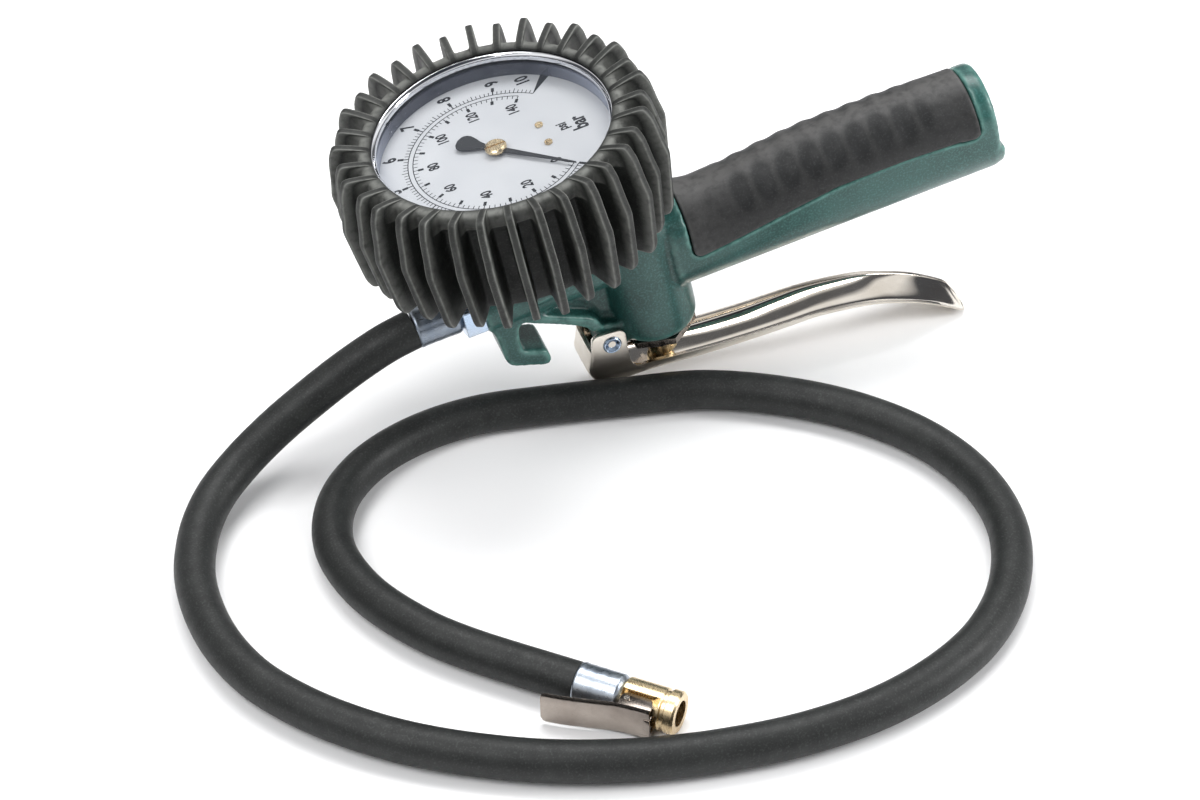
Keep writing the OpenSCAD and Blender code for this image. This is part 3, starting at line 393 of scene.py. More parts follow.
# Boot: its pale colour marks worn fin edges, and on the rim top dust plus a painted highlight
bootRubber = rubberFinish("boot_rubber", (0.0065, 0.0072, 0.0066), (0.024, 0.026, 0.0235),
                          (0.5, 0.66), 1300, 0.00004, wornAndLit=(0.21, 0.215, 0.20))
hoseRubber = rubberFinish("hose_rubber", (0.0105, 0.0115, 0.0112), (0.026, 0.028, 0.027),
                          (0.46, 0.58), 1800, 0.00003)
for finish in (gripRubber, bootRubber, hoseRubber):
    drive(finish, "Specular IOR Level", 0.35)
sealRubber = rubberFinish("seal_rubber", (0.010, 0.010, 0.010), (0.02, 0.02, 0.02), (0.35, 0.5), 2000, 0.00001)
nickel = metalFinish("nickel_plate", (0.86, 0.80, 0.72), (0.78, 0.71, 0.62), (0.10, 0.20), (1, 14, 14), 260)
# Pressed steel: polished inside, dull where the tool's outer side faces the hand
leverNickel = metalFinish("lever_plate", (0.82, 0.765, 0.69), (0.71, 0.65, 0.57), (0.10, 0.20), (1, 14, 14), 260)
dulled = ranged(leverNickel, attribute(leverNickel, "wearAndLight"), 0, 1, 0.04, 0.30)
brushed = ranged(leverNickel, grain(leverNickel, 260, 4, (1, 14, 14)), 0.3, 0.7, 0, 0.08)
drive(leverNickel, "Roughness", maths(leverNickel, "ADD", dulled, brushed))
zinc = metalFinish("clear_zinc", (0.44, 0.48, 0.53), (0.22, 0.26, 0.32), (0.24, 0.42), (1, 6, 6), 420, 0.00001)
blueZinc = metalFinish("blue_zinc", (0.55, 0.70, 0.90), (0.62, 0.68, 0.78), (0.18, 0.34), (1, 6, 6), 420, 0.00001)
# Darker copy of the blue zinc: painted shade for the rivet's recessed head
shadedZinc = metalFinish("blue_zinc_painted_shade", (0.24, 0.32, 0.44), (0.34, 0.42, 0.54), (0.20, 0.34), (1, 1, 1), 420, 0.00001)
brassFinish = metalFinish("turned_brass", (0.74, 0.60, 0.38), (0.56, 0.42, 0.24), (0.20, 0.36), (8, 1, 1), 520)
chrome = metalFinish("bright_chrome", (0.88, 0.89, 0.92), (0.82, 0.83, 0.87), (0.03, 0.09), (1, 1, 1), 300, 0.000002)
blackSteel = newFinish("black_lacquer", (0.02, 0.02, 0.022), 0.35)
relief(blackSteel, grain(blackSteel, 900), 0.00001, 0.5)
dialWhite = newFinish("white_lacquer", (0.56, 0.575, 0.60), 0.42)
cloudy = ranged(dialWhite, grain(dialWhite, 60, 5), 0.3, 0.7, 0, 1)
drive(dialWhite, "Base Color", blended(dialWhite, cloudy, (0.495, 0.51, 0.535), (0.545, 0.56, 0.58)))
relief(dialWhite, grain(dialWhite, 2500, 2), 0.000004, 0.4)
ink = newFinish("dial_ink", (0.008, 0.008, 0.010), 0.5, Specular_IOR_Level=0.25)
relief(ink, grain(ink, 3000, 2), 0.000003, 0.4)
matBlack = newFinish("pointer_black", (0.009, 0.0095, 0.011), 0.5, Specular_IOR_Level=0.3)
relief(matBlack, grain(matBlack, 1800, 2), 0.00001, 0.4)
glassFinish = newFinish("clear_glass", (0.30, 0.33, 0.38), 0.02, IOR=1.45, Alpha=0.05, Specular_IOR_Level=0.3)
relief(glassFinish, grain(glassFinish, 30, 1), 0.00001, 0.1)
# Clear plastic ring: painted light towards the front, painted shade where its far wall is seen through the glass
spacerFinish = newFinish("spacer_plastic", (0.50, 0.56, 0.68), 0.25, Alpha=0.75)
nearSideLight = ranged(spacerFinish, placeAlong(spacerFinish, "Y"), 0.004, 0.03, 1, 0)
drive(spacerFinish, "Base Color", blended(spacerFinish, nearSideLight, (0.045, 0.05, 0.075), (0.50, 0.55, 0.68)))
relief(spacerFinish, grain(spacerFinish, 70), 0.00002, 0.3)
print("finishes made")

# ---- camera, floor and light ----
view = {"place": (-0.30837, -0.84592, 0.75098), "lens": 105.0, "sensor": 36.0,
        "right": (0.94477252, -0.3273489, -0.01573496),
        "up": (0.22347503, 0.60837316, 0.76153858),
        "back": (-0.23971609, -0.72299709, 0.64792855)}
bpy.context.scene.view_settings.view_transform = "Standard"
camera = addObject("camera", bpy.data.cameras.new("camera"))
camera.data.lens, camera.data.sensor_width = view["lens"], view["sensor"]
camera.data.clip_start, camera.data.clip_end = 0.05, 20
turn = Matrix([view["right"], view["up"], view["back"]]).transposed().to_4x4()
camera.matrix_world = Matrix.Translation(view["place"]) @ turn
bpy.context.scene.camera = camera

# Sky: light and dark bands by height for the metals to mirror, and one dark patch over the near side
studio = {"bands": [(0.0, 0.05), (0.26, 0.05), (0.40, 1.0), (0.54, 1.0),
                    (0.62, 0.10), (0.74, 0.10), (0.82, 1.0), (1.0, 1.0)],
          "patch": (0.10, -0.45, 0.89), "patchEdge": (0.985, 0.84),
          "low": (0.03, 0.034, 0.045), "high": (1.0, 1.0, 1.0), "worldPower": 0.95,
          "backdrop": (0.9, 0.9, 0.91), "floor": (0.96, 0.96, 0.965), "floorRough": 0.6, "floorHalf": 6}
world = bpy.data.worlds.new("studio")
bpy.context.scene.world = world
world.use_nodes = True
sky = world.node_tree
direction, parts = sky.nodes.new("ShaderNodeTexCoord"), sky.nodes.new("ShaderNodeSeparateXYZ")
rise, tone = sky.nodes.new("ShaderNodeValToRGB"), sky.nodes.new("ShaderNodeMix")
facing, patch = sky.nodes.new("ShaderNodeVectorMath"), sky.nodes.new("ShaderNodeMapRange")
both = sky.nodes.new("ShaderNodeMath")
# The sky itself is seen plain and pale: the bands only light and mirror
seen, backdrop = sky.nodes.new("ShaderNodeLightPath"), sky.nodes.new("ShaderNodeMix")
backdrop.data_type, backdrop.inputs[7].default_value = "RGBA", (*studio["backdrop"], 1)
tone.data_type, facing.operation, both.operation = "RGBA", "DOT_PRODUCT", "MULTIPLY"
facing.inputs[1].default_value = studio["patch"]
tone.inputs[6].default_value, tone.inputs[7].default_value = (*studio["low"], 1), (*studio["high"], 1)
patch.inputs["From Min"].default_value, patch.inputs["From Max"].default_value = studio["patchEdge"]
while len(rise.color_ramp.elements) < len(studio["bands"]):
    rise.color_ramp.elements.new(0.5)
for stop, (height, level) in zip(rise.color_ramp.elements, studio["bands"]):
    stop.position, stop.color = height, (level, level, level, 1)
for start, end in ((direction.outputs["Generated"], parts.inputs[0]),
                   (direction.outputs["Generated"], facing.inputs[0]),
                   (parts.outputs["Z"], rise.inputs[0]), (facing.outputs["Value"], patch.inputs["Value"]),
                   (rise.outputs["Color"], both.inputs[0]), (patch.outputs["Result"], both.inputs[1]),
                   (both.outputs[0], tone.inputs["Factor"]), (tone.outputs[2], backdrop.inputs[6]),
                   (seen.outputs["Is Camera Ray"], backdrop.inputs["Factor"]),
                   (backdrop.outputs[2], sky.nodes["Background"].inputs["Color"])):
    sky.links.new(start, end)
sky.nodes["Background"].inputs["Strength"].default_value = studio["worldPower"]

floorMesh = bpy.data.meshes.new("floor")
reach = studio["floorHalf"]
floorMesh.from_pydata([(-reach, -reach, 0), (reach, -reach, 0), (reach, reach, 0), (-reach, reach, 0)], [],
                      [(0, 1, 2, 3)])
floorMesh.materials.append(newFinish("studio_floor", studio["floor"], studio["floorRough"]))
floor = addObject("floor", floorMesh)

lamps = {"key": {"at": (-0.9, -0.5, 1.5), "aim": (-0.02, 0, 0.06), "size": (0.9, 0.9), "power": 14},
         "top": {"at": (0.25, 0.55, 1.6), "aim": (0, 0, 0.06), "size": (1.4, 0.7), "power": 20},
         "side": {"at": (1.2, -0.6, 0.7), "aim": (0.05, 0, 0.06), "size": (0.4, 0.8), "power": 13}}
for name, lamp in lamps.items():
    data = bpy.data.lights.new(name, "AREA")
    data.shape, data.size, data.size_y, data.energy = "RECTANGLE", *lamp["size"], lamp["power"]
    light = addObject(name, data)
    back = np.array(lamp["at"]) - np.array(lamp["aim"])
    back /= np.linalg.norm(back)
    right = np.cross([0, 0, 1], back)
    right /= np.linalg.norm(right)
    aim = Matrix([right, np.cross(back, right), back]).transposed().to_4x4()
    light.matrix_world = Matrix.Translation(lamp["at"]) @ aim
print("studio set")

# ---- hose ----
hoseLook = {"diameter": 13.0, "exit": (-40.3135, 0, 41.3969), "sides": 40, "perSpan": 10, "rings": 420,
            "route": [(-51, -0.5, 38), (-64, -1, 31.5), (-77, -2.5, 24.5), (-90, -5.5, 18), (-103, -11.5, 12.6),
                      (-115, -21.5, 9.2), (-124, -36, 7.3), (-129.5, -55, 6.6), (-129.5, -78, 6.5), (-124, -99, 6.5),
                      (-114, -116, 6.5), (-101, -131, 6.5), (-86, -144, 6.5), (-68, -155.5, 6.5), (-48, -165.3, 6.5),
                      (-24, -173.2, 6.5), (0, -177.7, 6.5), (25, -179.4, 6.5), (50, -176.9, 6.5), (73, -169.5, 6.5),
                      (92, -158, 6.5), (107, -141, 6.5), (116.5, -119, 6.5), (117.5, -95, 6.5), (110, -71.5, 6.5),
                      (95, -51, 6.5), (75, -34.5, 6.5), (51, -22, 6.5), (26, -16.5, 6.5), (0, -11.5, 6.5),
                      (-24, -8.5, 6.5), (-46, -11.5, 6.5), (-65, -20.5, 6.5), (-78.5, -35, 6.5), (-84.5, -54, 6.5),
                      (-81.5, -75, 6.5), (-72, -94.5, 6.6), (-58.5, -111.5, 6.6), (-32, -137, 6.8)]}
route = np.array([hoseLook["exit"], *hoseLook["route"]]) + [stance["x"], 0, 0]
hosePath = spacedAlong(smoothCurve(route, hoseLook["perSpan"]), hoseLook["rings"])
hoseRings = tubeGrid(hosePath, hoseLook["diameter"] / 2, hoseLook["sides"])
hose = makePiece("hose_tube", [(hoseRings, capped)], "tool", hoseRubber, ("hose",),
                 place=lambda p: np.asarray(p) / 1000)

# ---- hose ends ----
ferruleLook = {"r": 6.8, "length": 15.0, "bore": 3.3, "steps": 61, "nearEnd": -41, "skin": 0.12,
               "rings": (5.2, 9.2), "ringWidth": 1.1, "crimp": 0.06, "swellAt": 0.9, "swellWidth": 0.7,
               "lip": 0.28, "lipLength": 0.5, "shoulder": 1.2, "shoulderLength": 1.6, "shoulderPower": 1.6}


# Pressed sleeve's radius along its length: a bell that swells at the hose, two faint bells cut in, a
# squared ramp for the rolled lip and a power curve down to the shoulder at the fitting
def ferruleProfile(look):
    x = np.linspace(0, look["length"], look["steps"])
    body = np.full_like(x, look["r"] - look["skin"])
    for centre in look["rings"]:
        body -= look["crimp"] * bell(x, centre, look["ringWidth"])
    body += look["skin"] * bell(x, look["swellAt"], look["swellWidth"])
    body -= look["lip"] * np.clip((look["lipLength"] - x) / look["lipLength"], 0, 1) ** 2
    last = (x - look["length"] + look["shoulderLength"]) / look["shoulderLength"]
    body -= look["shoulder"] * np.clip(last, 0, 1) ** look["shoulderPower"]
    return np.vstack([[look["bore"], 0], np.column_stack([body, x]), [look["bore"], look["length"]]])


ferruleGrid = turned(ferruleProfile(ferruleLook), 96, lying=True)
makePiece("near_sleeve", [(ferruleGrid + [ferruleLook["nearEnd"], 0, 0], loop)], "tool", zinc,
          ("near_ferrule",))
farFerrule = makePiece("chuck_sleeve", [(ferruleGrid, loop)], "tool", zinc, ("chuck_ferrule",),
                       place=onChuck)
easedCopy("hose_fitting", "tool", blueZinc, 0.35)
chuckBody = easedCopy("chuck_body", "tool", brassFinish, 0.22)
print("hose ends made")

# ---- clip on the chuck ----
clipNickel = metalFinish("clip_plate", (0.40, 0.355, 0.315), (0.25, 0.215, 0.19), (0.16, 0.28), (1, 10, 10), 300)
clipLook = {"spine": [(-6.4, -13.9), (-5.6, -13.75), (0, -12.9), (6, -11.5), (12, -10), (17, -8.9), (26.5, -8.3)],
            "sheet": 0.9, "half": 6.0, "corner": 1.6, "perSpan": 10, "along": 60, "across": 17,
            "edgeShare": 0.45, "edgeThin": 0.12, "rim": 0.15,
            "cheek": [(15.9, -8.75), (26.5, -8.4), (26.5, -5.6), (25.2, -2.6), (16.6, -2.6), (15.9, -4)],
            "cheekRound": 1.1, "cheekFrom": 4.3, "cheekTo": 5.2,
            "claw": [(24.6, -8.6), (26.6, -8.6), (26.6, -4.6), (26.2, -4.4), (25.0, -4.4), (24.6, -4.6)],
            "clawRound": 0.25, "clawHalf": 2.1}


# Bent sheet: a side line given a width that narrows on a quarter circle at its free end, and a
# thickness that thins on a quarter circle towards the edges
def bentSheet(look):
    sheet, half, corner = look["sheet"], look["half"], look["corner"]
    line = spacedAlong(smoothCurve(look["spine"], look["perSpan"]), look["along"])
    d = unitRows(np.gradient(line, axis=0))
    normal = np.stack([-d[:, 1], d[:, 0]], -1)
    near = np.clip(runAlong(line) / corner, 0, 1)
    width = half - corner + corner * np.sqrt(1 - (1 - near) ** 2)
    v = np.linspace(-1, 1, look["across"])
    edge = np.clip((1 - np.abs(v)) * half / (sheet * look["edgeShare"]), 0, 1)
    thick = sheet * (look["edgeThin"] + (1 - look["edgeThin"]) * np.sqrt(1 - (1 - edge) ** 2))
    z = v[None] * width[:, None]
    lower, upper = (np.dstack([line[:, None] + normal[:, None] * (rise / 2)[None, :, None], z])
                    for rise in (sheet - thick, sheet + thick))
    return np.concatenate([lower, upper[:, ::-1]], 1)


cheek = plateGrid(rounded(clipLook["cheek"], clipLook["cheekRound"], 5),
                  clipLook["cheekFrom"], clipLook["cheekTo"], clipLook["rim"])
claw = plateGrid(rounded(clipLook["claw"], clipLook["clawRound"], 3),
                 -clipLook["clawHalf"], clipLook["clawHalf"], clipLook["rim"])
clipParts = [bentSheet(clipLook), cheek, cheek * [1, 1, -1], claw]
clip = makePiece("clip_lever", [(part, capped) for part in clipParts], "clip", clipNickel,
                 ("chuck_clip",), place=onChuck)
print("clip made")

# ---- rubber boot ----
bootLook = {"fins": 34, "half": 1.18, "shrink": 1.2, "shrinkFull": 6, "start": -90.0, "coreR": 41.7,
            "spans": [2, 1, 1, 3, 3, 3, 3, 3, 3, 5, 8, 8, 4, 3, 4, 4, 3, 1],
            "wall": [(0, 0, 0, 1), (0.5, 0, 0, 1), (0.8, 0, 0.08, 1), (0.97, 0, 0.32, 1), (1, 0.02, 0.7, 1),
                     (1, 0.048, 0, 0.6), (1, 0.096, 0, 0.25), (1, 0.3, 0, 0.07), (1, 0.55, 0, 0.015),
                     (1, 0.9, 0, 0), (1, 1.5, 0, 0), (1, 2.2, 0, 0)],
            "wearAndLight": [0.05, 0.08, 0.4, 1, 0.6, 0, 0, 0, 0, 0, 0, 0], "wearFull": 2.0,
            "rimDustAndHighlight": 0.75, "rimR": 41.0, "rimSpread": 1.9, "rimAbove": 60.8,
            "shell": [(39.65, 64.95), (38.15, 65.15), (38.1, 65.6), (38.6, 66.2), (40.8, 66.3), (42.3, 65.6),
                      (42.7, 63.6), (42.3, 61.6), (41.4, 60.2), (41.7, 57), (41.7, 51), (41.7, 40), (41.7, 31),
                      (41.2, 28.6), (39.9, 28.05), (39.2, 28.0), (26, 28.0), (12.6, 28.0), (12.6, 29.4)],
            "crest": [(39.65, 64.95), (38.15, 65.15), (38.1, 65.6), (39.2, 66.8), (44.5, 68.6), (48.6, 69.7),
                      (49.9, 69.2), (51.6, 65.3), (52.3, 61.2), (52.9, 57.0), (54.1, 51), (52.9, 40), (51.7, 30),
                      (50.6, 27.4), (49.4, 26.5), (43.6, 26.9), (26, 28.0), (12.6, 28.0), (12.6, 29.4)]}


# A line [r, z] with each span cut into its count of steps, then averaged once with its neighbours
def steppedLine(points, spans):
    spread = np.concatenate([i + np.arange(n) / n for i, n in enumerate(spans)] + [[len(spans)]])
    line = np.stack([np.interp(spread, np.arange(len(spans) + 1), np.array(points)[:, i]) for i in (0, 1)], -1)
    line[1:-1] = 0.25 * line[:-2] + 0.5 * line[1:-1] + 0.25 * line[2:]
    return line


# Each fin blends from the shell's line to the crest's line. A wall column is [share of the half
# thickness, mm added, depth kept off the crest, share of the height]; columns run from crest to shell
def bootGrid(look):
    shell, crest = steppedLine(look["shell"], look["spans"]), steppedLine(look["crest"], look["spans"])
    wall = np.array([(share * look["half"] + more, depth, tall) for share, more, depth, tall in look["wall"]])
    wearAndLight = np.array(look["wearAndLight"])
    columns = np.vstack([wall[:0:-1] * [-1, 1, 1], wall])
    wearing = np.concatenate([wearAndLight[:0:-1], wearAndLight])
    full = np.linalg.norm(crest - shell, axis=1, keepdims=True)
    unit = (crest - shell) / np.maximum(full, 1e-6)
    grids, wornAndLit = [], []
    for i in range(look["fins"]):
        angle = np.radians(look["start"] + 360 * i / look["fins"])
        shrink = look["shrink"] if i % 2 else 0.0
        height = np.maximum(full - shrink * np.clip(full / look["shrinkFull"], 0, 1), 0)
        rise = np.maximum(height * columns[:, 2] - columns[:, 1], 0)
        r = shell[:, :1] + unit[:, :1] * rise
        z = shell[:, 1:] + unit[:, 1:] * rise
        u = columns[:, 0] * np.clip(r / look["coreR"], 0, 1)
        x, y = r * np.cos(angle) - u * np.sin(angle), r * np.sin(angle) + u * np.cos(angle)
        off = np.clip(1 - np.abs(np.hypot(x, y) / np.maximum(r, 1e-6) - 1), 0, 1)
        grids.append(np.stack([x * off, y * off, z], -1))
        lifted = np.clip(height / look["wearFull"], 0, 1)
        # Top of the rim paler: dust plus a painted highlight
        atRim = bell(shell[:, :1], look["rimR"], look["rimSpread"])
        rim = look["rimDustAndHighlight"] * atRim * (shell[:, 1:] > look["rimAbove"])
        wornAndLit.append(np.maximum(wearing * lifted, rim * (columns[:, 2] < 0.5)))
    return np.concatenate(grids, 1), np.concatenate(wornAndLit, 1)


bootPoints, bootWearAndLight = bootGrid(bootLook)
boot = makePiece("finned_boot", [(bootPoints, {"wrapColumns": True})], "tool", bootRubber,
                 ("gauge_boot",), sharp=60, wearAndLight=bootWearAndLight)
print("boot made:", len(boot.data.polygons), "faces")

# ---- gauge ----
gaugeLook = {"printZ": 56.03,
             "bezel": [(37.0, 62.44), (38.5, 62.44), (38.5, 64.8), (38.0, 64.8), (37.0, 63.7)],
             "bezelRound": [0.1, 0.1, 0.2, 0.5, 0.6],
             "glass": [(0, 60.62), (38.4, 60.62), (38.4, 62.4), (0, 62.4)],
             "spacer": [(37.3, 56.05), (38.4, 56.05), (38.4, 60.55), (37.3, 60.55)], "spacerRound": 0.15}
bezelProfile = rounded(gaugeLook["bezel"], gaugeLook["bezelRound"], 5)
makePiece("bright_bezel", [(turned(bezelProfile, 160), loop)], "tool", chrome, ("bezel_ring",), sharp=50)
makePiece("flat_glass", [(turned(gaugeLook["glass"], 128), {"wrapRows": True})], "tool", glassFinish,
          ("gauge_glass",), sharp=30)
spacerProfile = rounded(gaugeLook["spacer"], gaugeLook["spacerRound"], 3)
makePiece("lens_spacer", [(turned(spacerProfile, 128), loop)], "tool", spacerFinish,
          ("glass_spacer",), sharp=50)


# Flat printed shapes on the dial, a hair above it
def printFlat(name, quads):
    q = np.asarray(quads, float)
    z = np.full(q.shape[:2] + (1,), gaugeLook["printZ"])
    points = onTool(np.concatenate([q, z], -1).reshape(-1, 3))
    mesh = bpy.data.meshes.new(name)
    mesh.from_pydata(points.tolist(), [], np.arange(len(points)).reshape(-1, 4).tolist())
    return dress(addObject(name, mesh), "tool", ink)


# Degrees for one bar and for one psi, and the two arcs that carry the ticks
scaleLook = {"start": -135.0, "bar": 27.0, "psi": 27.0 * 0.0689476, "turn": -2.5,
             "outerArc": 28.4, "innerArc": 26.8, "line": 0.3, "arcPieces": 180}


# Dial angles run clockwise from -X, where the top of the dial is
def dialDirection(angle):
    a = np.radians(np.asarray(angle, float) + scaleLook["turn"])
    return np.stack([-np.cos(a), np.sin(a)], -1)


# Quads along the dial directions, half the width to each side
def ticks(angles, inner, outer, width):
    d = dialDirection(angles)
    side = np.stack([-d[:, 1], d[:, 0]], -1) * width / 2
    return np.stack([d * inner - side, d * inner + side, d * outer + side, d * outer - side], 1)


# Arc as short quads, half the line's width inside and outside its radius
def arcBand(start, end, r):
    d = dialDirection(np.linspace(start, end, scaleLook["arcPieces"] + 1))
    low, high = r - scaleLook["line"] / 2, r + scaleLook["line"] / 2
    return np.stack([d[:-1] * low, d[1:] * low, d[1:] * high, d[:-1] * high], 1)


# One quad along a dial direction, with a half width for each end
def wedge(angle, inner, innerHalf, outer, outerHalf):
    d = dialDirection([angle])[0]
    side = np.array([-d[1], d[0]])
    return [[d * inner - side * innerHalf, d * inner + side * innerHalf,
             d * outer + side * outerHalf, d * outer - side * outerHalf]]


# Angle of a reading: the scale's start plus the degrees of one unit times the reading
def barAngle(value):
    return scaleLook["start"] + scaleLook["bar"] * np.asarray(value, float)


def psiAngle(value):
    return scaleLook["start"] + scaleLook["psi"] * np.asarray(value, float)


outerArc, innerArc = scaleLook["outerArc"], scaleLook["innerArc"]
barWhole, psiTen = barAngle(np.arange(1, 10)), psiAngle(np.arange(0, 141, 10))
# Rows of ticks: angles, inner and outer radius, width
tickRows = [(barAngle(np.arange(101) / 10), outerArc, 29.9, 0.26),
            (barAngle(np.arange(20) / 2 + 0.5), outerArc, 30.5, 0.26),
            (barWhole, outerArc, 30.2, 0.4), (barWhole, 30.1, 32.0, 1.0),
            (psiAngle(np.arange(0, 142, 2.0)), 25.3, innerArc, 0.26),
            (psiTen, 24.9, innerArc, 0.28), (psiTen, 23.5, 25.3, 1.0)]
printFlat("dial_scale", np.concatenate([
    arcBand(barAngle(0), barAngle(10), outerArc), arcBand(psiAngle(0), psiAngle(140), innerArc),
    *(ticks(*row) for row in tickRows),
    wedge(barAngle(10), outerArc, 0.08, 37.6, 1.5), wedge(barAngle(0), outerArc, 0.5, 32, 0.6)]))

# Each entry: text, angle, radius, size
textLook = {"bar": (34.4, 6.0), "psi": (20.2, 4.8), "zeroR": 20.6, "tenAt": 9.62,
            "units": [("bar", 184.0, 27.4, 7.0), ("psi", 182.0, 22.0, 4.8)],
            "bold": 0.035, "narrow": 0.72, "curveSteps": 4}


# Numbers as flat meshes: up on the dial is -X, reading direction +Y
def dialNumbers(name, entries):
    letters = []
    for text, angle, r, size in entries:
        curve = bpy.data.curves.new(name, "FONT")
        curve.body, curve.size, curve.align_x, curve.align_y = text, size, "CENTER", "CENTER"
        curve.resolution_u, curve.offset = textLook["curveSteps"], textLook["bold"] * size
        maker = addObject(name, curve)
        bpy.context.view_layer.update()
        mesh = bpy.data.meshes.new_from_object(maker.evaluated_get(bpy.context.evaluated_depsgraph_get()))
        flat = np.zeros(len(mesh.vertices) * 3, np.float32)
        mesh.vertices.foreach_get("co", flat)
        flat = flat.reshape(-1, 3)
        centre = dialDirection([angle])[0] * r
        x, y = centre[0] - flat[:, 1], centre[1] + flat[:, 0] * textLook["narrow"]
        placed = onTool(np.stack([x, y, np.full(len(x), gaugeLook["printZ"])], -1))
        mesh.vertices.foreach_set("co", placed.astype(np.float32).ravel())
        bpy.data.objects.remove(maker)
        bpy.data.curves.remove(curve)
        letters.append(mesh)
    bm = bmesh.new()
    for mesh in letters:
        bm.from_mesh(mesh)
        bpy.data.meshes.remove(mesh)
    bmesh.ops.remove_doubles(bm, verts=bm.verts, dist=meshLook["mergePrint"])
    joined = bpy.data.meshes.new(name)
    bm.to_mesh(joined)
    bm.free()
    return dress(addObject(name, joined), "tool", ink)


numbers = [(str(n), float(barAngle(n)), *textLook["bar"]) for n in range(1, 10)]
numbers += [("10", float(barAngle(textLook["tenAt"])), *textLook["bar"])]
numbers += [("0", float(psiAngle(0)), textLook["zeroR"], textLook["psi"][1])]
numbers += [(str(n), float(psiAngle(n)), *textLook["psi"]) for n in range(20, 141, 20)]
dialNumbers("dial_numbers", numbers + textLook["units"])

# Pointer: half width along its length, from the broad tail over the hub to the fine tip. A section
# point is [share of the half width, height]; the grid's rows are spaced evenly over the entries
pointerLook = {"at": [-13.9, -13.6, -13.0, -12.0, -10.5, -8.5, -6.5, -4.5, -3.2, -2.6, -1.4, 0, 1.4, 2.4, 3.2,
                      8, 20, 27.4, 28.3],
               "half": [0.4, 1.9, 2.8, 3.35, 3.4, 2.7, 1.75, 1.15, 1.0, 1.35, 2.3, 2.6, 2.3, 1.35, 1.0,
                        0.85, 0.5, 0.22, 0.04],
               "section": [(-1, 0), (-1, 0.45), (-0.8, 0.5), (0, 0.5), (0.8, 0.5), (1, 0.45), (1, 0)],
               "z": 57.0, "rows": 90, "turn": -45.0}
entry = np.linspace(0, len(pointerLook["at"]) - 1, pointerLook["rows"])
at, half = (np.interp(entry, np.arange(len(pointerLook["at"])), pointerLook[key]) for key in ("at", "half"))
flatPointer = np.array([[[x, h * share, z] for share, z in pointerLook["section"]] for x, h in zip(at, half)])
a = np.radians(pointerLook["turn"])
turnIt = np.array([[np.cos(a), np.sin(a), 0], [-np.sin(a), np.cos(a), 0], [0, 0, 1]])
makePiece("needle", [(flatPointer @ turnIt + [0, 0, pointerLook["z"]], capped)], "pointer_train",
          matBlack, ("pointer",), sharp=40)
easedCopy("pointer_hub", "pointer_train", brassFinish, 0.15)
easedCopy("dial_screws", "tool", brassFinish, 0.12)
print("gauge made")

# ---- lever ----
# Path entries: x, z, depth of the trough, squareness of its section, mm added to its half width
leverLook = {"path": [(11, -30.8, 2.8, 7, 0), (9.8, -34.8, 3.2, 7, 0), (8.7, -39.2, 4, 7, 0), (11.6, -44.6, 4.4, 7, 0),
                      (20, -46.9, 4.4, 6, 0), (30.7, -48.1, 4.5, 4.2, 0), (49, -51.3, 4.9, 3.0, 0),
                      (65.3, -53, 4.8, 2.6, 0), (78, -53.3, 4.2, 2.7, 0.1), (90, -53.9, 3.6, 2.4, 0.2),
                      (106, -57, 3.1, 2.2, 0.4), (116, -60.4, 2.4, 2.2, 0.5), (126, -65.3, 1.9, 2.2, 0.6),
                      (134, -71, 1.7, 2.2, 0.6), (137.6, -74, 1.7, 2.2, 0.2), (138.7, -75, 1.65, 2.2, -2),
                      (139.2, -75.5, 1.6, 2.2, -5)],
             "sheet": 1.5, "half": 8.5, "least": 0.05, "sides": 28, "perSpan": 12}


# Trough along the path: its cross section is a superellipse half, outer skin then inner skin
def leverGrid(look):
    p = smoothCurve(look["path"], look["perSpan"])
    d = unitRows(np.gradient(p[:, :2], axis=0))
    normal = np.stack([-d[:, 1], d[:, 0]], -1)
    a = np.linspace(-np.pi / 2, np.pi / 2, look["sides"] + 1)[None]
    power = 2 / p[:, 3:4]

    def skin(width, depth, base):
        y = width * np.sign(a) * np.abs(np.sin(a)) ** power
        up = base + depth * (1 - np.abs(np.cos(a)) ** power)
        return np.stack([p[:, :1] + normal[:, :1] * up, y, p[:, 1:2] + normal[:, 1:] * up], -1)

    t = look["sheet"]
    half, height = look["half"] + p[:, 4:5], np.maximum(p[:, 2:3], t + look["least"])
    outside, inside = skin(half, height, 0.0), skin(half - t, height - t, t)
    return np.concatenate([outside, inside[:, ::-1]], 1)


# The two plates that carry the lever on its rivet: outline [x, z] and how far each corner is rounded
earLook = {"outline": [(9.9, -38), (12.35, -25.6), (14.0, -24.3), (22.4, -25.2), (23.9, -27.3), (23.2, -39),
                       (24.2, -42), (27.5, -43.6), (28, -46.2), (20, -45.5), (13.2, -43.6), (10.4, -41)],
           "round": [1, 1.2, 1.5, 2, 2, 3, 2.4, 0.8, 0.8, 2, 2, 1.5], "steps": 5,
           "inner": 7.0, "outer": 8.51, "edge": 0.22, "dullFrom": 8.2}


# Plate over the outline, stood upright at one side of the middle
def earGrid(look, side):
    flat = plateGrid(rounded(look["outline"], look["round"], look["steps"]), look["inner"], look["outer"], look["edge"])
    return np.stack([flat[..., 0], side * flat[..., 2], flat[..., 1]], -1)


trough, ears = leverGrid(leverLook), [earGrid(earLook, side) for side in (1, -1)]
dull = np.zeros(trough.shape[:2])
dull[:, :leverLook["sides"] + 1] = 1
dull = np.concatenate([dull.ravel()] + [(np.abs(ear[..., 1]) > earLook["dullFrom"]).ravel() for ear in ears])
makePiece("pressed_lever", [(part, capped) for part in (trough, *ears)], "lever", leverNickel,
          ("lever",), sharp=40, wearAndLight=dull)
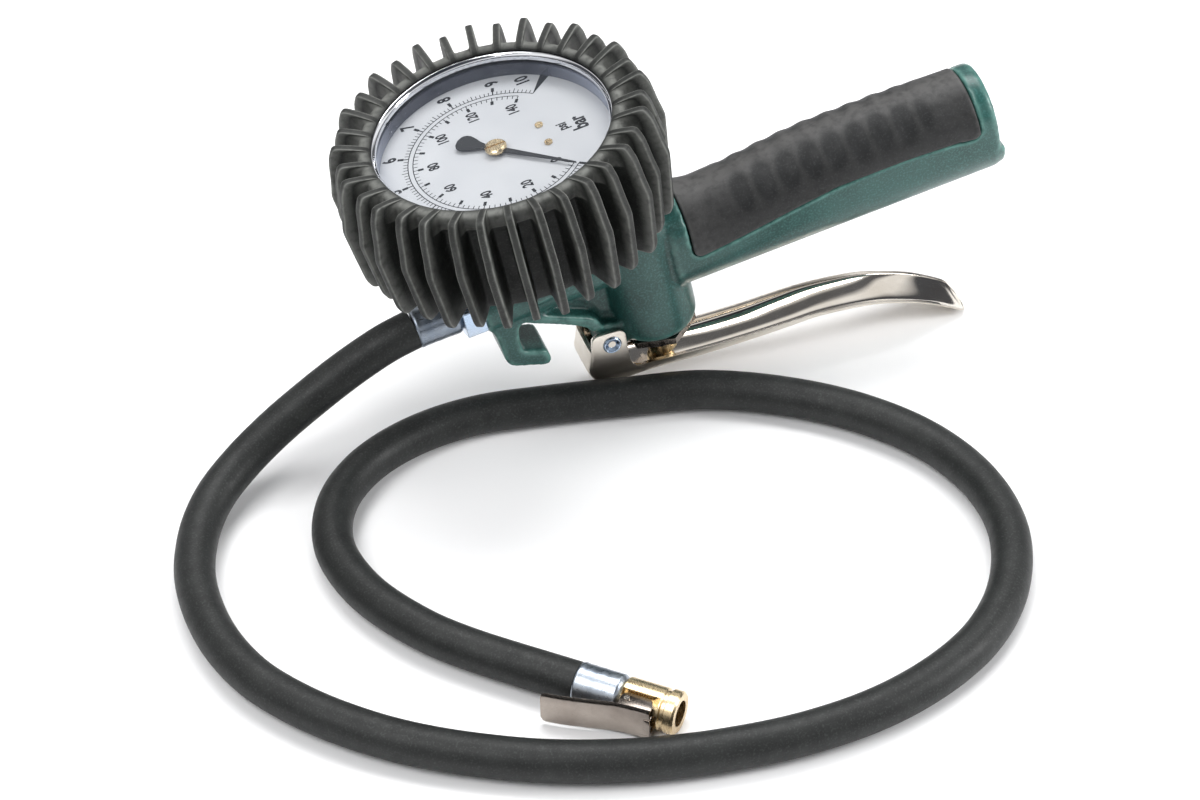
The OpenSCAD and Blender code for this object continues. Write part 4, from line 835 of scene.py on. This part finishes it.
# Rivet: darker zinc as painted shade in its recessed head, bright zinc on its bevelled edges as a painted highlight
easedCopy("lever_rivet", "lever", shadedZinc, 0.14, edgeFinish=blueZinc)


# Hexagon under the barrel: distance to a flat over the cosine of the angle from its middle, cut by a cone below
glandLook = {"x": 36.5, "flats": 22.6, "corner": -80.0, "bore": 5.6, "sides": 144,
             "rings": [(0.995, -33.3), (1.2, -33.3), (1.2, -35.7), (1.0, -36.2), (0.80, -36.3)]}


def glandGrid(look):
    t = np.linspace(0, 360, look["sides"], endpoint=False)[:, None]
    hexagon = look["flats"] / 2 / np.cos(np.radians((t - look["corner"]) % 60 - 30))
    cut, z = np.array(look["rings"]).T
    bore = np.full_like(t, look["bore"])
    radius = np.hstack([bore, np.minimum(hexagon, cut[None] * look["flats"] / 2), bore])
    z = np.broadcast_to(np.concatenate([z[:1], z, z[-1:]]), radius.shape)
    return np.stack([look["x"] + radius * np.cos(np.radians(t)), radius * np.sin(np.radians(t)), z], -1)


makePiece("gland_hexagon", [(glandGrid(glandLook), loop)], "tool", clipNickel, ("valve_gland",), sharp=25)
easedCopy("valve_button", "valve_stem", brassFinish, 0.3)
print("lever made")

# ---- casting and grip ----
castLook = {"voxel": 0.64, "smooth": 7, "relax": 0.55, "wearAndLightFrom": 0.010, "wearAndLightTo": 0.04, "wearAndLightPasses": 2}


# A cast solid: remeshed evenly and relaxed so its edges are soft; the wear-and-light mask is how far a point stands
# above the mean of its neighbours, along its normal, and pales raised edges as worn paint plus a painted highlight
def castCopy(node, body, material, look, name):
    maker = addObject(name, mergedCopy(node, False))
    remesh = maker.modifiers.new("even", "REMESH")
    remesh.mode, remesh.voxel_size = "VOXEL", look["voxel"] / 1000
    shaped = bpy.data.meshes.new_from_object(maker.evaluated_get(bpy.context.evaluated_depsgraph_get()))
    bpy.data.objects.remove(maker)
    count = len(shaped.vertices)
    co = np.zeros(count * 3, np.float32)
    shaped.vertices.foreach_get("co", co)
    co = co.reshape(-1, 3).astype(float)
    edges = np.zeros(len(shaped.edges) * 2, np.int32)
    shaped.edges.foreach_get("vertices", edges)
    a, b = edges.reshape(-1, 2).T
    degree = np.bincount(np.concatenate([a, b]), minlength=count)[:, None]

    def meanOf(values):
        total = np.zeros_like(values)
        for k in range(values.shape[1]):
            total[:, k] = np.bincount(a, values[b, k], count) + np.bincount(b, values[a, k], count)
        return total / degree

    for _ in range(look["smooth"]):
        co += look["relax"] * (meanOf(co) - co)
    shaped.vertices.foreach_set("co", co.astype(np.float32).ravel())
    shaped.update()
    normals = np.zeros(count * 3, np.float32)
    shaped.vertices.foreach_get("normal", normals)
    rise = np.sum((co - meanOf(co)) * normals.reshape(-1, 3), 1, keepdims=True) * 1000
    for _ in range(look["wearAndLightPasses"]):
        rise = 0.5 * rise + 0.5 * meanOf(rise)
    wearAndLight = np.clip((rise - look["wearAndLightFrom"]) / (look["wearAndLightTo"] - look["wearAndLightFrom"]), 0, 1)
    print(name, count, "points, rise", np.percentile(rise, [50, 90, 97, 99]).round(4).tolist())
    setWear(shaped, wearAndLight)
    return dress(addObject(name, shaped), body, material, (node,), 180)


castCopy("housing", "tool", paint, castLook, "casting")

# ---- grip ----
# Grip shape and tone; in the tone the crest is a painted highlight and the hollows get painted shade
gripLook = {"front": 51.02, "back": 152.28, "half": 14.75, "proud": 0.35, "up": 18.0, "wall": 0.85, "roll": 0.7,
            "ease": [0, 0.04, 0.12, 0.25, 0.45, 0.7], "rows": 190, "sideSteps": 12, "arcSteps": 61,
            "dip": 4.2, "dipFrom": 0.04, "dipRun": 0.5, "lip": 1.5, "lipRun": 0.09,
            "crown": 1.2, "crownFrom": 0.7, "crownRun": 0.3,
            "low": -2.48, "tilt": 4.7, "bow": 5.0, "bowPower": 1.4, "corner": 3.0,
            "pitch": 8.2, "depth": 0.5, "from": 0.13, "to": 0.88, "fade": 0.08, "middle": 124.0, "spread": 21.0,
            "tone": 0.15, "crest": (0.6, 84, 22), "frontTone": (0.2, 0.12), "hollowShade": 0.9,
            "rimTone": (0.25, 0.6, 0.5)}


# Half a cosine from 0 to 1
def ramp(value):
    return 0.5 - 0.5 * np.cos(np.pi * np.clip(value, 0, 1))


# Grip skin: half round over the handle with straight sides down to a bowed lower edge. Each finger hollow is
# a cosine along the grip times a bell round the section, and the rim rolls in over a quarter circle.
# The second grid is the tone: painted highlight along the crest, paler front and rim, painted shade in the hollows
def gripGrid(look):
    front, back, ease = look["front"], look["back"], np.array(look["ease"])
    x = np.concatenate([front + ease, np.linspace(front + 1, back - 1, look["rows"]), back - ease[::-1]])
    x = np.concatenate([x[:1], x, x[-1:]])[:, None]
    t = (x - front) / (back - front)
    top = (look["up"] + look["crown"] - look["dip"] * (1 - ramp((t - look["dipFrom"]) / look["dipRun"]))
           + look["lip"] * (1 - ramp(t / look["lipRun"]))
           - look["crown"] * ramp((t - look["crownFrom"]) / look["crownRun"]))
    bowed = np.sin(np.pi * np.minimum(1, np.maximum(t, 0) ** look["bowPower"]))
    edge = look["low"] + look["tilt"] * t + look["bow"] * bowed
    corner = look["corner"]
    for inside in (x - front, back - x):
        edge = edge + corner - np.sqrt(corner**2 - np.clip(corner - inside, 0, corner) ** 2)
    steps = look["sideSteps"]
    side = np.concatenate([ease, np.linspace(1, steps, steps)]) / steps
    centre = top - look["half"]
    wallZ = edge + (centre - edge) * side[None]
    arc = np.linspace(180, 0, look["arcSteps"])[None, 1:-1]
    arcAngle = np.radians(arc)
    full, ones = look["half"] + look["proud"], np.ones_like(x)
    y = np.hstack([-full * np.ones_like(wallZ), full * np.cos(arcAngle) * ones, full * np.ones_like(wallZ)])
    z = np.hstack([wallZ, centre + look["half"] * np.sin(arcAngle), wallZ[:, ::-1]])
    angle = np.hstack([180 + 0 * wallZ, np.degrees(arcAngle) * ones, 0 * wallZ])
    inward = np.stack([-np.cos(np.radians(angle)), -np.sin(np.radians(angle))], -1)
    far = 99 + 0 * arcAngle * x
    rim = np.minimum(np.minimum(x - front, back - x), np.hstack([wallZ - edge, far, wallZ[:, ::-1] - edge]))
    roll = look["roll"] - np.sqrt(look["roll"] ** 2 - np.clip(look["roll"] - rim, 0, look["roll"]) ** 2)
    waves = 0.5 - 0.5 * np.cos(2 * np.pi * (x - front) / look["pitch"])
    row = ramp((t - look["from"]) / look["fade"]) * ramp((look["to"] - t) / look["fade"]) * waves
    hollow = row * (bell(angle, look["middle"], look["spread"]) + bell(180 - angle, look["middle"], look["spread"]))
    sink = roll + look["depth"] * hollow

    def skin(depth):
        return np.stack([x * np.ones_like(y), y + inward[..., 0] * depth, z + inward[..., 1] * depth], -1)

    outer, inner = skin(sink), skin(look["wall"] + sink)
    outer[0], outer[-1] = inner[0], inner[-1]
    crest, crestHighlightAt, crestHighlightSpread = look["crest"]
    pale, paleRun = look["frontTone"]
    rimTone, rimAt, rimSpread = look["rimTone"]
    # Painted highlight along the crest, painted shade in the finger hollows, paler at the front and the rim
    tone = (look["tone"] + crest * bell(angle, crestHighlightAt, crestHighlightSpread) + pale * bell(t, 0, paleRun)
            - look["hollowShade"] * hollow + rimTone * bell(rim, rimAt, rimSpread))
    tone = np.clip(tone, 0, 1)
    return np.concatenate([outer, inner[:, ::-1]], 1), np.concatenate([tone, tone[:, ::-1]], 1)


gripPoints, gripLightAndShade = gripGrid(gripLook)
makePiece("grip_sleeve", [(gripPoints, {"wrapColumns": True})], "tool", gripRubber, ("grip_insert",),
          sharp=60, wearAndLight=gripLightAndShade)
print("grip made")

# ---- finishes of the solids that stay ----
kept = {"inlet_bush": brassFinish, "inlet_filter": zinc, "gauge_case": blackSteel, "gauge_socket": brassFinish,
        "bourdon_tube": brassFinish, "movement_plates": brassFinish, "movement_pillars": brassFinish,
        "sector_gear": brassFinish, "pinion_arbor": nickel, "tip_link": nickel, "hairspring": nickel,
        "dial": dialWhite, "gland_seal": sealRubber, "valve_poppet": sealRubber, "valve_spring": nickel,
        "chuck_seal": sealRubber, "valve_depressor": brassFinish, "clip_pin": nickel, "clip_spring": nickel}
for node, finish in kept.items():
    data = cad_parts[node].data
    data.materials.clear()
    data.materials.append(finish)
print("solids dressed")
